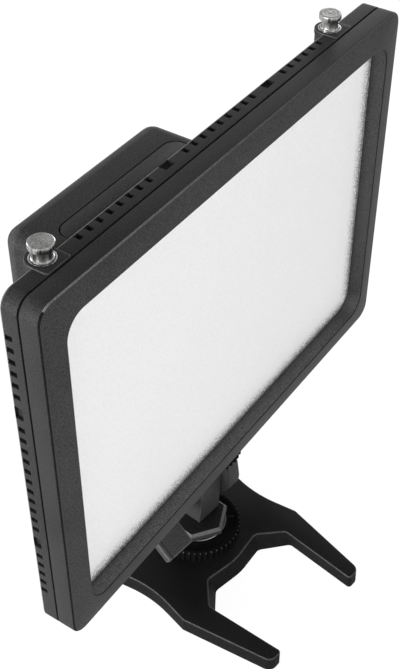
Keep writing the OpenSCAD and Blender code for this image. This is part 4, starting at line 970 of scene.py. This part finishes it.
def make_lever():
    """Flat wing with a scored line near its end, on a round hub about the hinge"""
    end, root, half_w, half_t = -37.6, -21.3, 19.0, 2.0
    hub_end, hub_root, hub_r, bolt_r, nut_seat = -28.3, -4.3, 7.0, 3.3, -5.0
    score_x0, score_x1, score_z, score_reach = -35.5, -35.0, 1.6, 25.0
    rest_angle = 38
    bm = bmesh.new()
    box(bm, (end, -half_w, -half_t), (root, half_w, half_t))
    # The rounded edges take the painted highlight
    soften(bm, 0.8, segments=3, angle=40, mat=1)
    cutters = bmesh.new()
    box(cutters, (score_x0, -score_reach, score_z), (score_x1, score_reach, half_t + 1))
    bm = carve(bm, cutters)
    hub = bmesh.new()
    lathe(hub, [(0, hub_end), (6.2, hub_end), (hub_r, -27.6), (hub_r, -4.8), (6.5, hub_root),
                (bolt_r, hub_root), (bolt_r, nut_seat), (0, nut_seat)], 56)
    absorb(bm, hub, Z_TO_X)
    place = HINGE @ Matrix.Rotation(math.radians(rest_angle), 4, "X")
    piece("lever_wing", bm, "lever", [ARM, ARM_EDGE_HIGHLIGHT], ["wing_lever"], place)


def make_washer(name, body, node, z0, inner):
    flat, low, high = 14.0, 0.3, 0.7
    profile = [(inner, z0), (flat, z0), (WASHER_R, z0 + low), (WASHER_R, z0 + high), (flat, z0 + WASHER_T),
               (inner, z0 + WASHER_T)]
    bm = bmesh.new()
    lathe(bm, profile, 72, closed=True)
    piece(name, bm, body, [WASHER], [node], MOUNT)


# Stand

def stand_outline(crotch, half):
    """Symmetric plan of the stand from the middle of its crotch round the right side to the rear"""
    return outline([crotch] + half + [(-x, y, r) for x, y, r in reversed(half)])


def shrink(points, amount):
    """Moves the points of an anticlockwise outline inwards"""
    moved = []
    n = len(points)
    for i, (x, y) in enumerate(points):
        ax, ay = points[i - 1]
        bx, by = points[(i + 1) % n]
        span = math.hypot(bx - ax, by - ay)
        moved.append((x - amount * (by - ay) / span, y + amount * (bx - ax) / span))
    return moved


def make_stand():
    """Plate with sloping sides, steepest in the crotch, and a rounded upper edge"""
    foot = stand_outline((0, -28.2, 30), [
        (16.3, -26.2, 4), (29.3, -36.4, 3), (27.0, -74.0, 1.6), (34.4, -74.0, 4.2),
        (43.4, -28.4, 3), (39.4, -5.0, 60), (44.5, 18.0, 6), (27.4, 36.0, 10)])
    head = stand_outline((0, -25.0, 30), [
        (18.2, -22.2, 4), (29.4, -32.8, 3), (26.7, -73.8, 1.6), (34.2, -73.8, 4.2),
        (43.2, -28.4, 3), (38.8, -5.0, 60), (43.9, 18.0, 6), (27.2, 35.5, 10)])
    if sum(ax * by - ay * bx for (ax, ay), (bx, by) in zip(foot, foot[1:] + foot[:1])) < 0:
        foot.reverse()
        head.reverse()

    def between(z):
        t = z / STAND_T
        return [(ax + (bx - ax) * t, ay + (by - ay) * t) for (ax, ay), (bx, by) in zip(foot, head)]

    chamfer, edge_z, bend_z, crest_z = 0.3, 7.5, 7.78, 7.93
    levels = [(shrink(foot, chamfer), 0.0), (between(chamfer), chamfer), (between(edge_z), edge_z),
              (shrink(between(bend_z), 0.1), bend_z), (shrink(head, 0.25), crest_z),
              (shrink(head, 0.5), STAND_T)]
    bm = bmesh.new()
    rings = [ring(bm, [(x, y, z) for x, y in points]) for points, z in levels]
    # The upper edge's rounding takes the painted highlight
    skin(bm, rings, [0, 0, 1, 1, 1])
    bm.faces.new(rings[0])
    bm.faces.new(rings[-1])
    shoe_half_w, shoe_y0, shoe_y1, shoe_z, insert_top = 12.9, -11.0, 10.2, 7.0, 6.2
    cutters = bmesh.new()
    box(cutters, (-shoe_half_w, shoe_y0, shoe_z), (shoe_half_w, shoe_y1, STAND_T + 1))
    rod(cutters, INSERT_R, -1, insert_top)
    bm = carve(bm, cutters)
    piece("stand_fork", bm, "stand", [BASE, BASE_EDGE_HIGHLIGHT], ["stand_base"], MOUNT)


make_bezel()
make_diffuser()
make_rear_shell()
make_pin_boss("pin_boss_left", PIN_X[0])
make_pin_boss("pin_boss_right", PIN_X[1])
make_socket_block()
make_pin("link_pin_left", PIN_X[0], "left_link_pin", "left_pin")
make_pin("link_pin_right", PIN_X[1], "right_link_pin", "right_pin")
make_bushes()
make_housing()
make_cover()
make_switch()
make_rocker()
make_knob()
make_jack()
make_wheel("lower_wheel_grip", "lower_lock", "lower_wheel", LOWER_WHEEL_Z, STEM_BORE, mark_angle=-42)
make_wheel("upper_wheel_grip", "upper_lock", "upper_wheel", UPPER_WHEEL_Z, STUD_BORE)
make_tilt_base()
make_arm()
make_bolt()
make_lever()
make_washer("flange_washer_ring", "pan_base", "flange_washer", FLANGE_Z - WASHER_T, WASHER_BORE)
make_washer("upper_washer_ring", "light_head", "upper_washer", ARM_TOP, STUD_BORE)
make_stand()

# Finishes of the CAD pieces that stay
CAD_FINISH = {
    "light_guide": GUIDE, "reflector_sheet": SHEET, "led_strips": LEDS, "back_tray": ALUMINIUM,
    "case_screws": DARK_STEEL, "housing_screws": STEEL, "driver_board": BOARD, "battery_pack": WRAP,
    "dimmer_pot": STEEL, "dimmer_shaft": STEEL, "socket_insert": BRASS, "head_stud": STEEL,
    "wheel_pad": RUBBER, "lever_nut": BRASS, "set_screw": DARK_STEEL, "shoe_foot": ANODISED,
    "shoe_channel": ANODISED, "shoe_screws": STEEL, "stand_insert": BRASS,
}
for node, mat in CAD_FINISH.items():
    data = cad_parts[node].data
    data.materials.clear()
    data.materials.append(mat)

# Camera, solved from the panel's edges in the photograph
eye = Vector((-319.2, -220.1, 488.2)) * MM
forward = Vector((0.6154, 0.4209, -0.6664)).normalized()
right = Vector((0.5629, -0.8266, -0.0022)).normalized()
up = right.cross(forward).normalized()
turn = Matrix((right, up, -forward)).transposed()
camera = bpy.data.objects.new("camera", bpy.data.cameras.new("camera"))
scene.collection.objects.link(camera)
camera.matrix_world = Matrix.Translation(eye) @ turn.to_4x4()
camera.data.lens = 65.88
camera.data.sensor_width = 36.0
camera.data.shift_x = 0.0006
camera.data.shift_y = -0.0028
camera.data.clip_start = 0.01
scene.camera = camera


# Studio

def seen_white(tree):
    """1 for what the camera sees, in reflections and through clear pieces too, and 0 for light on surfaces"""
    path = tree.nodes.new("ShaderNodeLightPath")
    seen = combine(tree, path.outputs["Is Camera Ray"], path.outputs["Is Glossy Ray"], "MAXIMUM")
    return combine(tree, seen, path.outputs["Is Transmission Ray"], "MAXIMUM")


def make_floor():
    """Floor that looks white, with the object's soft shadow on it"""
    half, drop, white_share, white_strength = 6, -0.0003, 0.9, 1.06
    floor_mesh = bpy.data.meshes.new("floor")
    corners = [(-half, -half, 0), (half, -half, 0), (half, half, 0), (-half, half, 0)]
    floor_mesh.from_pydata(corners, [], [(0, 1, 2, 3)])
    floor = bpy.data.objects.new("floor", floor_mesh)
    floor.location.z = drop
    scene.collection.objects.link(floor)
    floor_mat, tree, bsdf = new_material("floor_white")
    bsdf.inputs["Base Color"].default_value = (0.82, 0.82, 0.82, 1)
    bsdf.inputs["Roughness"].default_value = 0.9
    bsdf.inputs["Specular IOR Level"].default_value = 0.1
    glow = tree.nodes.new("ShaderNodeEmission")
    glow.inputs["Color"].default_value = (1, 1, 1, 1)
    glow.inputs["Strength"].default_value = white_strength
    blend = tree.nodes.new("ShaderNodeMixShader")
    tree.links.new(combine(tree, seen_white(tree), white_share, "MULTIPLY"), blend.inputs[0])
    tree.links.new(bsdf.outputs[0], blend.inputs[1])
    tree.links.new(glow.outputs[0], blend.inputs[2])
    tree.links.new(blend.outputs[0], tree.nodes["Material Output"].inputs[0])
    floor_mesh.materials.append(floor_mat)


def make_room():
    """Room that looks white and lights the object only dimly"""
    lit, seen = 0.13, 1.0
    world = bpy.data.worlds.new("studio")
    scene.world = world
    world.use_nodes = True
    tree = world.node_tree
    room = tree.nodes["Background"]
    room.inputs["Color"].default_value = (1.0, 1.0, 1.0, 1)
    tree.links.new(remap(tree, seen_white(tree), 0.0, 1.0, lit, seen), room.inputs["Strength"])


def area_light(name, at, aim, width, height, watts):
    data = bpy.data.lights.new(name, "AREA")
    data.shape = "RECTANGLE"
    data.size, data.size_y = width, height
    data.energy = watts
    obj = bpy.data.objects.new(name, data)
    obj.location = at
    obj.rotation_euler = (Vector(aim) - Vector(at)).to_track_quat("-Z", "Y").to_euler()
    scene.collection.objects.link(obj)


make_floor()
make_room()

# A wide panel in front, a strong one at the left, and weak ones behind and at the right
area_light("front_panel", at=(-0.5, -1.6, 0.75), aim=(0, 0, 0.15), width=1.6, height=1.1, watts=22.5)
area_light("left_panel", at=(-1.55, 0.5, 0.4), aim=(0, 0, 0.15), width=1.1, height=0.7, watts=54)
area_light("back_panel", at=(-0.3, 1.6, 0.9), aim=(0, 0, 0.2), width=1.2, height=0.6, watts=12)
area_light("right_panel", at=(1.6, 0.45, 0.5), aim=(0, 0, 0.2), width=0.8, height=0.5, watts=9)

scene.view_settings.view_transform = "Standard"
